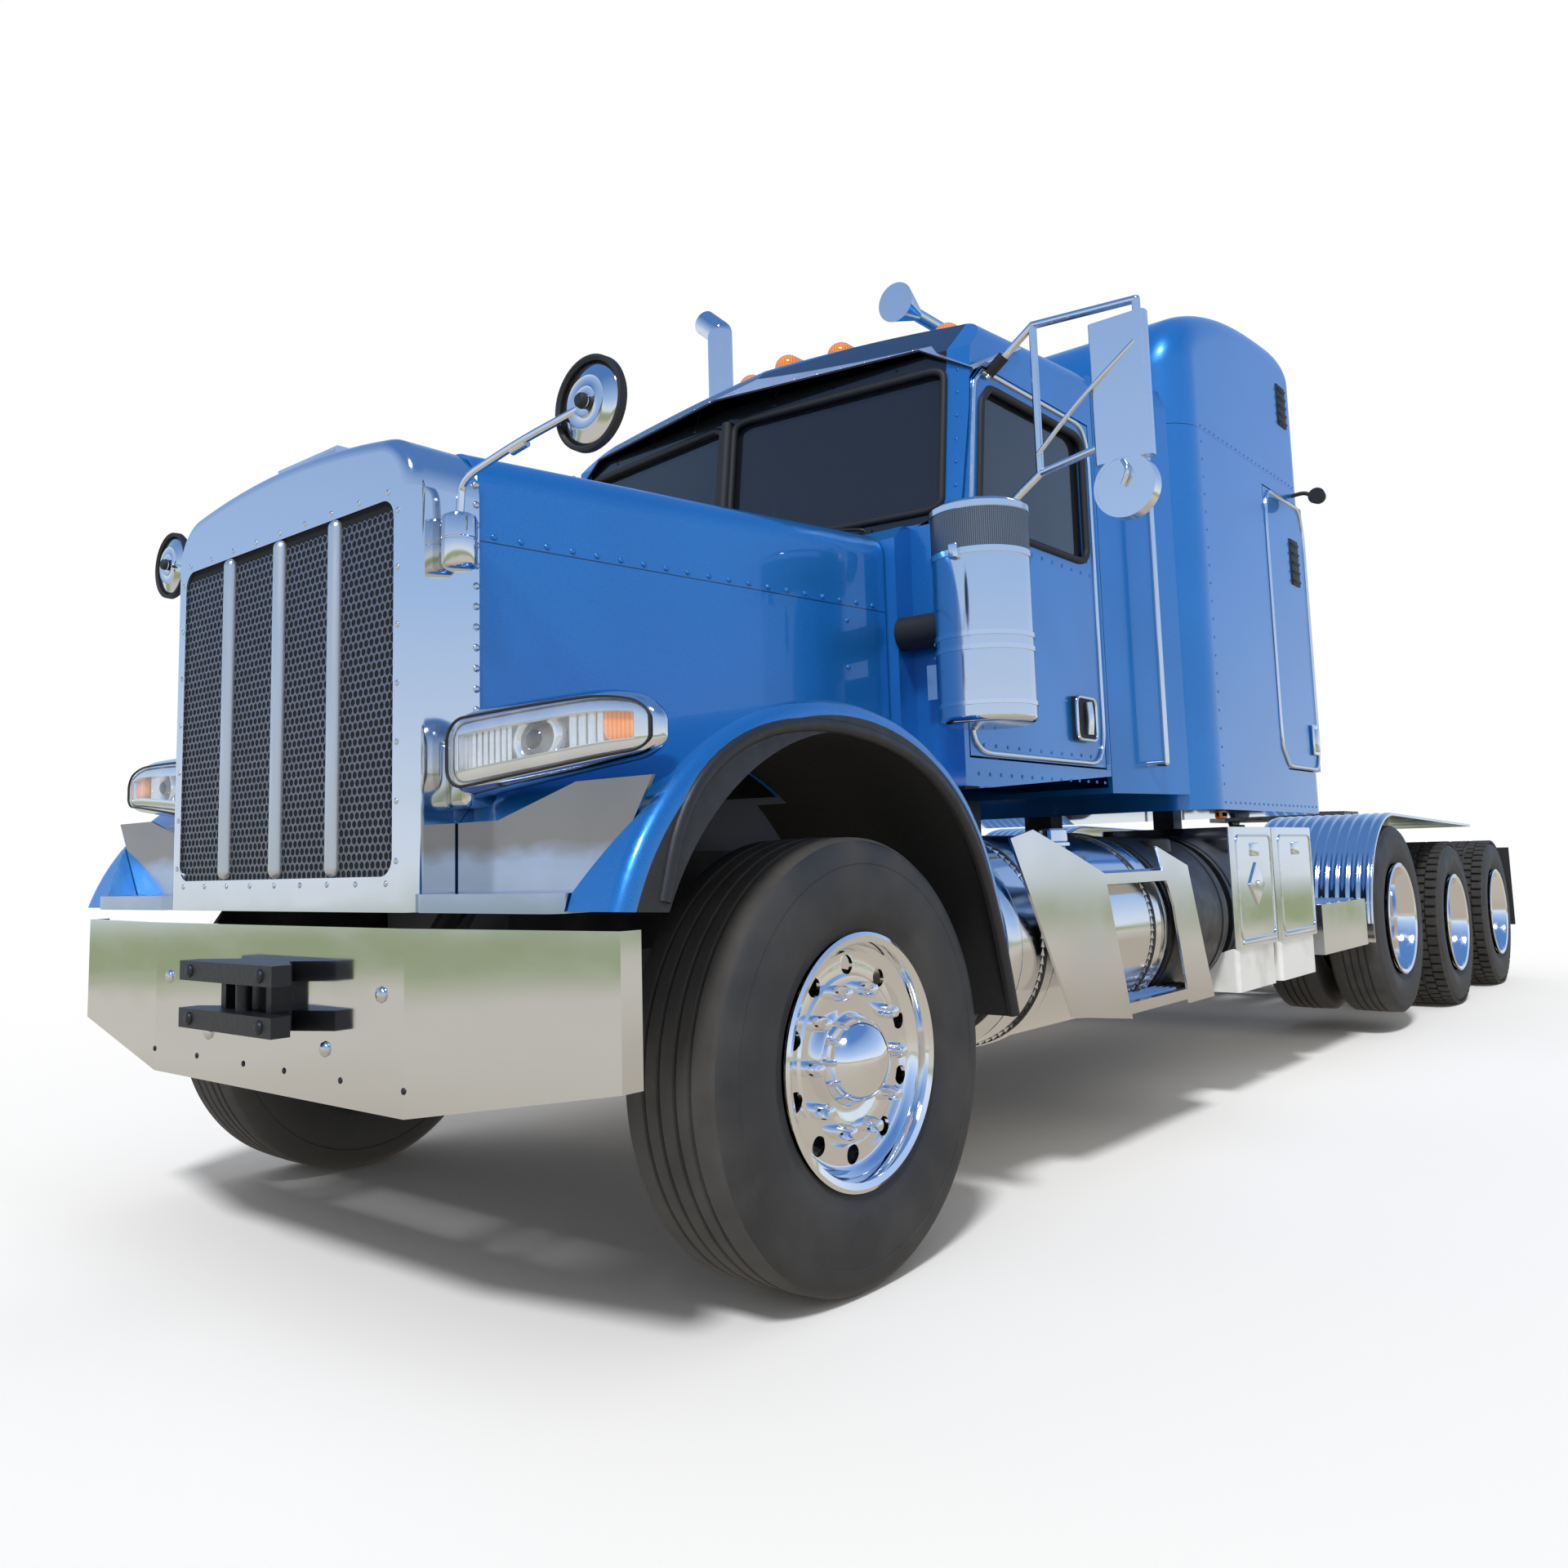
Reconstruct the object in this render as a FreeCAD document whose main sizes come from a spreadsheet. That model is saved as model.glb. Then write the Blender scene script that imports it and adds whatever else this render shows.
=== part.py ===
import FreeCAD, Part
import math
import os
import re
import Sketcher
from FreeCAD import Placement, Rotation, Vector

# Heavy-haul conventional tractor unit with a sleeper, one raised pusher axle and two drive axles.
# X points to the truck's left, Y to its rear and Z up. Every shape is drawn with the steering
# axle at Y = 0 and the ground at Z = 0, then shifted so that the origin is under the middle.

SIZES = [
    # axles and overall
    ("axle_spacing", 1375), ("last_axle_y", 7760), ("front_overhang", 865),
    # tyres and rims
    ("steer_tyre_dia", 1060), ("steer_tyre_width", 305), ("steer_track", 2110), ("drive_tyre_dia", 1016),
    ("drive_tyre_width", 275), ("twin_spacing", 340), ("twin_mid_x", 920), ("lift_height", 96),
    ("rim_dia", 590), ("rim_well_dia", 545), ("rim_wall", 16), ("rim_width", 250), ("bead_dia", 572),
    ("disc_wall", 20), ("tyre_shoulder", 42), ("sidewall_bulge", 14), ("tyre_fit", 0.3), ("nut_circle", 335),
    ("nut_dia", 38), ("nut_length", 62), ("hub_cap_dia", 210), ("steer_cap_reach", 105), ("drive_cap_reach", 150),
    ("axle_fit", 0.3),
    # frame
    ("rail_outer", 432), ("rail_height", 270), ("rail_flange", 90), ("rail_wall", 10), ("rail_top", 1040),
    ("frame_front", 620), ("frame_tail", 500), ("cross_height", 100), ("cross_width", 110),
    ("cab_mount_size", 110),
    # axles
    ("kingpin_x", 860), ("kingpin_dia", 40), ("boss_dia", 100), ("boss_height", 180), ("beam_height", 90),
    ("beam_depth", 84), ("beam_drop", 150), ("spring_width", 80), ("spring_pack", 60), ("spring_reach", 640),
    ("axle_tube_dia", 150), ("banjo_dia", 380), ("banjo_width", 260), ("drum_dia", 420), ("drum_wall", 240),
    ("trail_beam_height", 90), ("trail_beam_reach", 520), ("air_spring_dia", 240),
    ("shaft_dia", 90),
    # engine and radiator
    ("engine_width", 680), ("engine_front", 300), ("engine_rear", 790), ("engine_low", 620), ("engine_high", 1640),
    ("gearbox_width", 400), ("gearbox_rear", 1950), ("gearbox_low", 760), ("gearbox_high", 1130),
    ("radiator_width", 930), ("radiator_low", 1040), ("radiator_high", 1760), ("radiator_wall", 120),
    ("radiator_y", -560),
    # bumper and coupling
    ("bumper_half", 1218), ("bumper_top", 880), ("bumper_low", 476), ("bumper_end_low", 578),
    ("bumper_flat_half", 600), ("bumper_sweep", 60), ("bumper_wall", 8), ("bumper_lip", 14),
    ("bumper_return", 55), ("bumper_bracket", 90), ("coupling_width", 460), ("coupling_low", 630), ("coupling_high", 795),
    ("coupling_reach", 105), ("coupling_jaw", 48), ("coupling_pin_dia", 38), ("coupling_throat", 200),
    # grille shell, mesh and bars
    ("shell_half", 588), ("shell_low", 913), ("shell_crown", 2062), ("shell_side_top", 1880), ("shell_corner", 120),
    ("shell_front", 845), ("shell_depth", 190), ("shell_wall", 8), ("grille_half", 520), ("grille_low", 993),
    ("grille_high", 1865), ("grille_corner", 45), ("mesh_wall", 12), ("mesh_lap", 14), ("bar_dia", 44),
    ("bar_pitch", 265), ("shell_edge", 38), ("strap_half", 150), ("strap_rise", 38),
    # hood
    ("hinge_y", -800), ("hinge_z", 760), ("hinge_pin_dia", 24), ("hinge_eye", 56), ("hinge_plate", 20),
    ("hood_wall", 10), ("hood_front_half", 580), ("hood_rear_half", 760), ("hood_rear_y", 800),
    ("hood_front_low", 1135), ("hood_rear_low", 1215), ("hood_front_top", 2050), ("hood_rear_top", 2085),
    ("hood_shoulder", 88), ("hood_drop", 30), ("panel_gap", 6),
    # fenders, lamps and fender plates
    ("fender_outer", 1235), ("lamp_inner_x", 606), ("lamp_outer_x", 1236),
    ("lamp_inner_y", -788), ("lamp_outer_y", -704), ("lamp_low", 1150), ("lamp_high", 1376), ("lamp_depth", 165),
    ("lamp_mid_x", 1000), ("lamp_corner", 48), ("lamp_rim", 12), ("ledge_depth", 133), ("plate_low_x", 1078),
    ("plate_top_x", 1226), ("plate_top_z", 1180), ("fender_edge", 40),
    ("ledge_thick", 40), ("plate_wall", 8),
    ("hood_mirror_dia", 215), ("hood_mirror_x", 1005), ("hood_mirror_y", -690), ("hood_mirror_z", 2007), ("can_dia", 84), ("can_y", -743),
    ("can_low", 1690), ("can_high", 1820),
    ("hood_mirror_wall", 32), ("tube_dia", 19),
    # cab
    ("cab_half", 970), ("cab_front", 900), ("cab_rear", 1960), ("cab_low", 1222), ("cab_roof", 2975),
    ("cab_wall", 48), ("cab_floor", 40), ("cab_edge", 150), ("cowl_top", 2075), ("screen_low_y", 860),
    ("screen_high_y", 935), ("screen_sweep", 116), ("roof_front_y", 1150), 
    ("roof_camber", 74), ("roof_corner", 110), ("glass_wall", 6), ("door_front", 935), ("door_rear", 1915),
    ("door_low", 1318), ("window_low", 2090), ("door_lean", 55), ("handle_front", 1655), ("handle_rear", 1810),
    ("handle_low", 1411), ("handle_high", 1566), ("window_edge", 62), ("door_gap", 7), ("barrel_length", 90),
    ("seal_fit", 0.5), ("screen_post", 95), ("screen_edge", 70),
    ("visor_wall", 6), ("visor_tip_y", 850), 
    ("visor_top_y", 1195), ("visor_sweep", 150), ("visor_end_drop", 105),
    ("roof_lamp_dia", 110), ("roof_lamp_length", 150), ("roof_lamp_y", 1300), ("roof_lamp_pitch", 230),
    ("horn_bell_dia", 150), ("horn_length", 430), ("horn_x", 520), ("horn_rise", 105), ("lamp_inset", 305), ("visor_lap", 15), ("visor_bend", 170),
    ("cowl_inset", 170), 
    # sleeper
    ("sleeper_half", 1150), ("sleeper_front", 2450), ("sleeper_rear", 4050), ("sleeper_low", 1165),
    ("sleeper_wall", 45), ("sleeper_corner", 165), ("sleeper_brow", 140), 
    ("fairing_low", 1225), ("hatch_front", 3405), ("hatch_rear", 3985), ("hatch_low", 1370), ("hatch_high", 2700),
    ("hatch_corner", 90), ("grab_y", 2190), ("grab_low", 1340), ("grab_high", 2620), ("grab_stand", 70),
    ("fairing_rise", 35), ("sleeper_rise", 505),
    # mirrors on the doors
    ("mirror_y", 1160), ("mirror_near", 175), ("mirror_reach", 530), ("head_reach", 466), ("mirror_rise", 105),
    ("head_rise", 36), 
    ("mirror_low", 2240), ("mirror_head_width", 188), ("mirror_head_low", 2213),
    ("mirror_head_wall", 45), ("convex_dia", 200), ("convex_z", 2130), ("mirror_tube", 26),
    # air cleaners and exhaust
    ("cleaner_dia", 290), ("cleaner_x", 1135), ("cleaner_y", 762), ("cleaner_low", 1385), ("cleaner_high", 2042),
    ("cleaner_elbow", 110), ("stack_dia", 127), ("stack_stand", 99.4), ("stack_y", 2140), ("stack_high", 3865),
    ("stack_elbow_z", 1140), ("stack_elbow_dia", 90), ("stack_root_x", 300), ("guard_dia", 190), ("guard_low", 1300),
    # side equipment
    ("side_face", 1205), ("tank_dia", 650), ("tank_x", 860), ("tank_z", 745), ("tank_front", 765), ("tank_rear", 1910),
    ("tank_dome", 45), ("strap_width", 70), ("strap_wall", 6), ("strap_y", 935), ("step_plate", 8), ("step_depth", 240),
    ("step_wall", 36), ("upper_step", 936), ("lower_step", 512), ("cover_front", 1925), ("cover_rear", 2500),
    ("box_depth", 560), ("box_front", 2530), ("first_box", 500), ("second_box", 530), ("box_gap", 40), 
    ("box_low", 610), ("box_high", 1092), ("under_box_low", 440), ("step_box_front", 3640), ("step_box_rear", 4380),
    ("step_box_low", 505), ("step_box_high", 735),
    # rear fenders and flaps
    ("quarter_clear", 52), ("quarter_inner", 600), ("quarter_outer", 1222), ("quarter_wall", 6), ("quarter_tail", 7070),
    ("bead_tube", 22), ("flap_y", 8400), ("flap_low", 380), ("flap_high", 960), ("flap_wall", 12),
    # fifth wheel
    ("fifth_y", 7072), ("fifth_top", 1250), ("fifth_half", 480), ("fifth_length", 940), ("fifth_wall", 45),
    ("fifth_pivot", 1165), ("fifth_pin_dia", 60), ("kingpin_bore", 50.8), ("throat_mouth", 420), ("fifth_bracket", 90),
    # overruns and small clearances
    ("over", 20), ("seat_gap", 0.3),
]

doc = FreeCAD.newDocument("tractor_unit")
sheet = doc.addObject("Spreadsheet::Sheet", "sizes")
for row, (alias, value) in enumerate(SIZES, start=1):
    sheet.set(f"A{row}", alias)
    sheet.set(f"B{row}", str(value))
    sheet.setAlias(f"B{row}", alias)
doc.recompute()


class SheetReader:
    """Reads a size from the sheet by its alias."""

    def __getattr__(self, alias):
        return float(sheet.get(alias))


s = SheetReader()
X_AXIS = Vector(1, 0, 0)
Y_AXIS = Vector(0, 1, 0)
Z_AXIS = Vector(0, 0, 1)
ORIGIN = Vector(0, 0, 0)

front_tip = -(s.front_overhang + s.coupling_reach)
rear_tip = s.flap_y + s.flap_wall
shift = Placement(Vector(0, -(front_tip + rear_tip) / 2, 0), Rotation())
sub_parts = []

# heights that follow the cab's roof, as shares of the height above the cowl
screen_share = 0.6944
roof_front_share = 0.9333
visor_top_share = 0.9444
visor_tip_share = 0.7111
door_share = 0.6278
above_cowl = s.cab_roof - s.cowl_top
screen_high = s.cowl_top + above_cowl * screen_share
roof_front = s.cowl_top + above_cowl * roof_front_share
visor_top_z = s.cowl_top + above_cowl * visor_top_share
visor_tip_z = s.cowl_top + above_cowl * visor_tip_share
door_high = s.cowl_top + above_cowl * door_share
horn_z = s.cab_roof + s.horn_rise
fairing_high = s.cab_roof + s.fairing_rise
sleeper_high = fairing_high + s.sleeper_rise
mirror_top = door_high + s.mirror_rise
mirror_head_high = door_high + s.head_rise

# places across the cab that follow its half width
roof_lamp_outer = s.cab_half - s.lamp_inset
visor_half = s.cab_half + s.visor_lap
visor_bend_x = s.cab_half - s.visor_bend
cowl_half = s.cab_half - s.cowl_inset
mirror_inner_x = s.cab_half + s.mirror_near
mirror_outer_x = s.cab_half + s.mirror_reach
mirror_head_x = s.cab_half + s.head_reach

# the exhaust stands off the collar between cab and sleeper, square to its tapered side
collar_front = s.cab_rear + s.panel_gap
collar_rear = s.sleeper_front - s.panel_gap
collar_taper = (s.sleeper_half - s.grab_stand - s.cab_half) / (collar_rear - collar_front)
stack_skin = s.cab_half + collar_taper * (s.stack_y - collar_front)
stack_x = -(stack_skin + s.stack_stand * math.hypot(1, collar_taper))

# the boxes along the side, one behind the other
box_split = s.box_front + s.first_box
box_rear = box_split + s.second_box


def bound(expression):
    """Turns plain size names into references to the sheet."""
    return re.sub(r"[a-z_][a-z0-9_]*", lambda m: "sizes." + m.group(0), expression)


def keep(obj, label):
    """Names a sub-part and moves it from the axle frame to the part's own frame."""
    obj.Label = label
    obj.Placement = shift.multiply(obj.Placement)
    sub_parts.append(obj)
    return obj


def feature(label, shape):
    """A sub-part whose shape is worked out from the sheet."""
    obj = doc.addObject("Part::Feature", label)
    obj.Shape = shape
    return keep(obj, label)


def block(x, y, z):
    """A box bound to the sheet; each of x, y and z is a pair of sums, low and high."""
    obj = doc.addObject("Part::Box", "block")
    for size, letter, (low, high) in (("Length", "x", x), ("Width", "y", y), ("Height", "z", z)):
        obj.setExpression(size, bound(f"({high}) - ({low})"))
        obj.setExpression(f"Placement.Base.{letter}", bound(low))
    return obj


def bar(x, y, z, diameter):
    """A round bar along X bound to the sheet; x is a pair of sums, low and high."""
    obj = doc.addObject("Part::Cylinder", "bar")
    obj.Placement = Placement(ORIGIN, Rotation(Y_AXIS, 90))
    obj.setExpression("Radius", bound(f"({diameter}) / 2"))
    obj.setExpression("Height", bound(f"({x[1]}) - ({x[0]})"))
    for letter, place in (("x", x[0]), ("y", y), ("z", z)):
        obj.setExpression(f"Placement.Base.{letter}", bound(place))
    return obj


def post(x, y, z, diameter):
    """An upright round bar bound to the sheet; z is a pair of sums, low and high."""
    obj = doc.addObject("Part::Cylinder", "post")
    obj.setExpression("Radius", bound(f"({diameter}) / 2"))
    obj.setExpression("Height", bound(f"({z[1]}) - ({z[0]})"))
    for letter, place in (("x", x), ("y", y), ("z", z[0])):
        obj.setExpression(f"Placement.Base.{letter}", bound(place))
    return obj


def slab(points, span, axis="x"):
    """An outline of bound corners seen along an axis and carried along it; span is a pair of sums, low and high."""
    turns = {"x": Rotation(X_AXIS + Y_AXIS + Z_AXIS, 120), "y": Rotation(X_AXIS, 90), "z": Rotation()}
    view = doc.addObject("Sketcher::SketchObject", "view")
    view.Placement = Placement(ORIGIN, turns[axis])
    view.setExpression(f"Placement.Base.{axis}", bound(span[0]))
    outline(view, points)
    obj = doc.addObject("Part::Extrusion", "slab")
    obj.Base = view
    obj.DirMode = "Custom"
    obj.Dir = {"x": X_AXIS, "y": Y_AXIS, "z": Z_AXIS}[axis]
    obj.Solid = True
    obj.setExpression("LengthFwd", bound(f"({span[1]}) - ({span[0]})"))
    return obj


def turned(sections):
    """Bound (x, radius) outlines turned round the X axis."""
    view = doc.addObject("Sketcher::SketchObject", "section")
    view.Placement = Placement(ORIGIN, Rotation(X_AXIS, 90))
    for points in sections:
        outline(view, points)
    obj = doc.addObject("Part::Revolution", "turned")
    obj.Source = view
    obj.Axis = X_AXIS
    obj.Base = ORIGIN
    obj.Angle = 360
    obj.Solid = True
    return obj


def less(base, tool):
    """A bound piece with another taken away."""
    obj = doc.addObject("Part::Cut", "cut")
    obj.Base = base
    obj.Tool = tool
    obj.Refine = False
    return obj


def other_hand(piece):
    """The mirror image of a bound piece."""
    obj = doc.addObject("Part::Mirroring", "right_hand")
    obj.Source = piece
    obj.Normal = X_AXIS
    return obj


def on_side(piece, side):
    """A bound piece on the left or on the right, free to be placed."""
    if side < 0:
        return other_hand(piece)
    obj = doc.addObject("Part::Compound", "left_hand")
    obj.Links = [piece]
    return obj


def fused(*pieces):
    """Bound pieces as one solid."""
    obj = doc.addObject("Part::MultiFuse", "fused")
    obj.Shapes = list(pieces)
    obj.Refine = True
    return obj


def on_both_sides(left):
    """A bound piece and its mirror image."""
    pair = doc.addObject("Part::Compound", "pair")
    pair.Links = [left, other_hand(left)]
    return pair


def outline(sketch, points):
    """A closed outline whose corners are bound to the sheet by pairs of sums."""
    first = sketch.GeometryCount
    count = len(points)
    for i in range(count):
        turn = 2 * math.pi * i / count
        ahead = 2 * math.pi * (i + 1) / count
        sketch.addGeometry(Part.LineSegment(Vector(math.cos(turn), math.sin(turn), 0),
                                            Vector(math.cos(ahead), math.sin(ahead), 0)), False)
    for i in range(count):
        sketch.addConstraint(Sketcher.Constraint("Coincident", first + i, 2, first + (i + 1) % count, 1))
    for i, (across, up) in enumerate(points):
        for kind, place in (("DistanceX", across), ("DistanceY", up)):
            number = sketch.addConstraint(Sketcher.Constraint(kind, -1, 1, first + i, 1, 1.0))
            sketch.setExpression(f"Constraints[{number}]", bound(place))


def box(x0, x1, y0, y1, z0, z1):
    low = Vector(min(x0, x1), min(y0, y1), min(z0, z1))
    return Part.makeBox(abs(x1 - x0), abs(y1 - y0), abs(z1 - z0), low)


def rod(a, b, diameter):
    """A round bar from point a to point b."""
    return Part.makeCylinder(diameter / 2, (b - a).Length, a, b - a)


def bent_tube(points, diameter):
    """Straight round runs joined by ball corners."""
    runs = [rod(a, b, diameter) for a, b in zip(points, points[1:])]
    corners = [Part.makeSphere(diameter / 2, p) for p in points[1:-1]]
    return runs[0].multiFuse(runs[1:] + corners).removeSplitter() if len(points) > 2 else runs[0]


def join(shapes):
    """One solid from pieces that overlap or meet."""
    return shapes[0].multiFuse(shapes[1:]).removeSplitter()


def mirrored(shape):
    return shape.mirror(ORIGIN, X_AXIS)


def both(shape):
    """The same piece on the left and on the right."""
    return Part.makeCompound([shape, mirrored(shape)])


def plate_x(points, x0, x1):
    """A side-view outline (y, z) carried across from x0 to x1."""
    wire = Part.makePolygon([Vector(x0, y, z) for y, z in points + points[:1]])
    return Part.Face(wire).extrude(Vector(x1 - x0, 0, 0))


def plate_y(points, y0, y1):
    """A front-view outline (x, z) carried back from y0 to y1."""
    wire = Part.makePolygon([Vector(x, y0, z) for x, z in points + points[:1]])
    return Part.Face(wire).extrude(Vector(0, y1 - y0, 0))


def plate_z(points, z0, z1):
    """A top-view outline (x, y) carried up from z0 to z1."""
    wire = Part.makePolygon([Vector(x, y, z0) for x, y in points + points[:1]])
    return Part.Face(wire).extrude(Vector(0, 0, z1 - z0))


def rounded(shape, radius, keep_edge):
    """Rounds the edges for which keep_edge(edge) holds."""
    edges = [e for e in shape.Edges if keep_edge(e)]
    return shape.makeFillet(radius, edges)


def runs_along(edge, axis):
    """Whether an edge is a straight one along an axis."""
    if not isinstance(edge.Curve, Part.Line):
        return False
    return abs(abs(edge.Curve.Direction.dot(axis)) - 1) < 1e-6


def upright_box(x0, x1, y0, y1, z0, z1, radius):
    """A box with rounded upright edges."""
    return rounded(box(x0, x1, y0, y1, z0, z1), radius, lambda e: runs_along(e, Z_AXIS))


# Frame: two channel rails on edge, cross members between them and blocks that carry the cabs
rail_low = s.rail_top - s.rail_height
cross_shares = (0.025, 0.318, 0.44, 0.54, 0.71, 0.866, 0.985)


def frame_rails():
    low = "rail_top - rail_height"
    rear = "last_axle_y + frame_tail"
    outer = block(("rail_outer - rail_flange", "rail_outer"), ("-frame_front", rear), (low, "rail_top"))
    hollow = block(("rail_outer - rail_flange - over", "rail_outer - rail_wall"), ("-frame_front - over", f"{rear} + over"),
                   (f"{low} + rail_wall", "rail_top - rail_wall"))
    left = [less(outer, hollow)]
    for y, top in (("cab_front + cab_mount_size", "cab_low"), ("cab_rear - cab_mount_size", "cab_low"),
                   ("sleeper_front + cab_mount_size", "sleeper_low"),
                   ("sleeper_rear - cab_mount_size", "sleeper_low")):
        left.append(block(("rail_outer - cab_mount_size", "rail_outer"),
                          (f"{y} - cab_mount_size / 2", f"{y} + cab_mount_size / 2"), ("rail_top", top)))
    hinge_outer = "shell_half - shell_wall - 2 * hinge_plate - panel_gap"
    arm = [("-frame_front", "rail_top"), ("-frame_front", low), ("hinge_y", "hinge_z - hinge_eye / 2"),
           ("hinge_y - hinge_eye / 2", "hinge_z"), ("hinge_y", "hinge_z + hinge_eye / 2")]
    left.append(slab(arm, (f"{hinge_outer} - hinge_plate", hinge_outer)))
    left.append(block(("rail_outer - rail_wall", hinge_outer), ("-frame_front", "-frame_front + rail_flange"),
                      (low, "rail_top")))
    left.append(bar((f"{hinge_outer} - hinge_plate", "shell_half - shell_wall"), "hinge_y", "hinge_z", "hinge_pin_dia"))
    pieces = left + [other_hand(piece) for piece in left]
    for share in cross_shares:
        y = f"-frame_front + {share} * (frame_front + {rear})"
        pieces.append(block(("rail_wall - rail_outer", "rail_outer - rail_wall"),
                            (f"{y} - cross_width / 2", f"{y} + cross_width / 2"),
                            ("rail_top - rail_wall - cross_height", "rail_top - rail_wall")))
    return fused(*pieces)


keep(frame_rails(), "frame_rails")

# Steering axle: a dropped beam with kingpin bosses, carried by two leaf packs
steer_hub_z = s.steer_tyre_dia / 2


def front_axle():
    hub_z = "steer_tyre_dia / 2"
    shoulder = f"{hub_z} - boss_height / 2"
    low = f"{hub_z} - beam_drop"
    bend = "rail_outer + spring_width"
    left_half = [("kingpin_x - boss_dia", shoulder), ("kingpin_x", shoulder), ("kingpin_x", f"{shoulder} + beam_height"),
                 (bend, f"{low} + beam_height")]
    front_view = [(f"-({x})", z) for x, z in left_half] + left_half[::-1] + [(bend, low), (f"-({bend})", low)]
    pieces = [slab(front_view, ("-beam_depth / 2", "beam_depth / 2"), "y")]
    pack_low = f"{low} + beam_height"
    pack_top = f"{pack_low} + spring_pack"
    across = ("rail_outer - rail_flange / 2 - spring_width / 2", "rail_outer - rail_flange / 2 + spring_width / 2")
    pin_rise = "(boss_height / 2 + disc_wall + hinge_plate)"
    rails_foot = "rail_top - rail_height"
    leaf = "spring_pack / 2"
    spring_view = [("-spring_reach + over", f"{rails_foot} - spring_pack"), ("-spring_reach + over", rails_foot),
                   ("-spring_reach + spring_width", rails_foot), (f"-spring_reach / 2 + {leaf}", pack_top),
                   (f"spring_reach / 2 - {leaf}", pack_top), ("spring_reach - spring_width", rails_foot),
                   ("spring_reach", rails_foot), ("spring_reach", f"{rails_foot} - spring_pack"),
                   ("spring_reach / 2", f"{pack_low} + {leaf}"), ("-spring_reach / 2", f"{pack_low} + {leaf}")]
    left = [post("kingpin_x", "0", (f"{hub_z} - boss_height / 2", f"{hub_z} + boss_height / 2"), "boss_dia"),
            post("kingpin_x", "0", (f"{hub_z} - {pin_rise}", f"{hub_z} + {pin_rise}"), "kingpin_dia"),
            block(across, ("-spring_reach / 2", "spring_reach / 2"), (pack_low, pack_top)),
            slab(spring_view, across)]
    return fused(*pieces, *left, *[other_hand(piece) for piece in left])


keep(front_axle(), "front_axle")


hub_height = "steer_tyre_dia / 2"
arm_rise = "(boss_height / 2 + hinge_plate / 2)"
web_inner = "kingpin_x + boss_dia / 2 + hinge_plate / 2"
web_outer = f"{web_inner} + hinge_plate"
fork_half = "(boss_dia / 2 + hinge_plate / 2)"
steer_disc_place = "steer_track / 2 + rim_width / 2 - tyre_shoulder - disc_wall"


def knuckle():
    """Fork round the kingpin boss, with the spindle and brake drum outside it."""
    pieces = [block((web_inner, web_outer), (f"-{fork_half}", fork_half),
                    (f"{hub_height} - {arm_rise} - disc_wall", f"{hub_height} + {arm_rise} + disc_wall"))]
    for arm in ((f"{hub_height} - {arm_rise} - disc_wall", f"{hub_height} - {arm_rise}"),
                (f"{hub_height} + {arm_rise}", f"{hub_height} + {arm_rise} + disc_wall")):
        pieces.append(block(("kingpin_x", web_outer), (f"-{fork_half}", fork_half), arm))
        pieces.append(post("kingpin_x", "0", arm, f"2 * {fork_half}"))
    pieces.append(bar((web_outer, f"{steer_disc_place} - seat_gap"), "0", hub_height, "drum_dia"))
    bore = post("kingpin_x", "0", (f"{hub_height} - boss_height", f"{hub_height} + boss_height"),
                "kingpin_dia + 2 * axle_fit")
    return less(fused(*pieces), bore)


for side, word in ((1, "left"), (-1, "right")):
    keep(on_side(knuckle(), side), f"knuckle_{word}")

# Tyres: a turned carcass with circumferential grooves; rims: barrel, disc, hub cap and nut covers


def tyre_outline(mid, diameter, width):
    """The carcass's section as sums over the sheet: from the inner bead over the tread to the outer bead."""
    seat = "(rim_width / 2 - tyre_fit)"
    seat_r = "bead_dia / 2 + tyre_fit"
    flange_r = "rim_dia / 2 + tyre_fit"
    wide_r = f"(bead_dia + {diameter}) / 4"
    shoulder_r = f"{diameter} / 2 - tyre_shoulder"
    half = f"{width} / 2"
    return [(f"{mid} - {seat}", seat_r), (f"{mid} - {seat}", flange_r), (f"{mid} - {half}", wide_r),
            (f"{mid} - {half} + sidewall_bulge / 2", shoulder_r),
            (f"{mid} - {half} + tyre_shoulder", f"{diameter} / 2"),
            (f"{mid} + {half} - tyre_shoulder", f"{diameter} / 2"),
            (f"{mid} + {half} - sidewall_bulge / 2", shoulder_r), (f"{mid} + {half}", wide_r),
            (f"{mid} + {seat}", flange_r), (f"{mid} + {seat}", seat_r)]


def turned_tyres(label, mids, diameter, width, y, z, side):
    """The tyres of one wheel, turned round its axle from a bound section, on the left or the right."""
    wheel = on_side(turned([tyre_outline(mid, diameter, width) for mid in mids]), side)
    wheel.Placement = Placement(Vector(0, y, z), Rotation())
    return keep(wheel, label)


def rim_outline(mid):
    """The section of a drop-centre barrel whose flanges hold the tyre's beads."""
    left, right = f"{mid} - rim_width / 2", f"{mid} + rim_width / 2"
    flange_r, well_r, bead = "rim_dia / 2", "rim_well_dia / 2", "bead_dia / 2"
    return [(f"{left} - rim_wall / 2", flange_r), (left, flange_r), (left, bead),
            (f"{left} + tyre_shoulder / 2", f"{bead} - rim_wall / 2"), (f"{left} + tyre_shoulder", well_r),
            (f"{right} - tyre_shoulder", well_r), (f"{right} - tyre_shoulder / 2", f"{bead} - rim_wall / 2"),
            (right, bead), (right, flange_r), (f"{right} + rim_wall / 2", flange_r),
            (f"{right} + rim_wall / 2", f"{bead} - rim_wall"), (f"{right} - tyre_shoulder", f"{well_r} - rim_wall"),
            (f"{left} + tyre_shoulder", f"{well_r} - rim_wall"), (f"{left} - rim_wall / 2", f"{bead} - rim_wall")]


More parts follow.
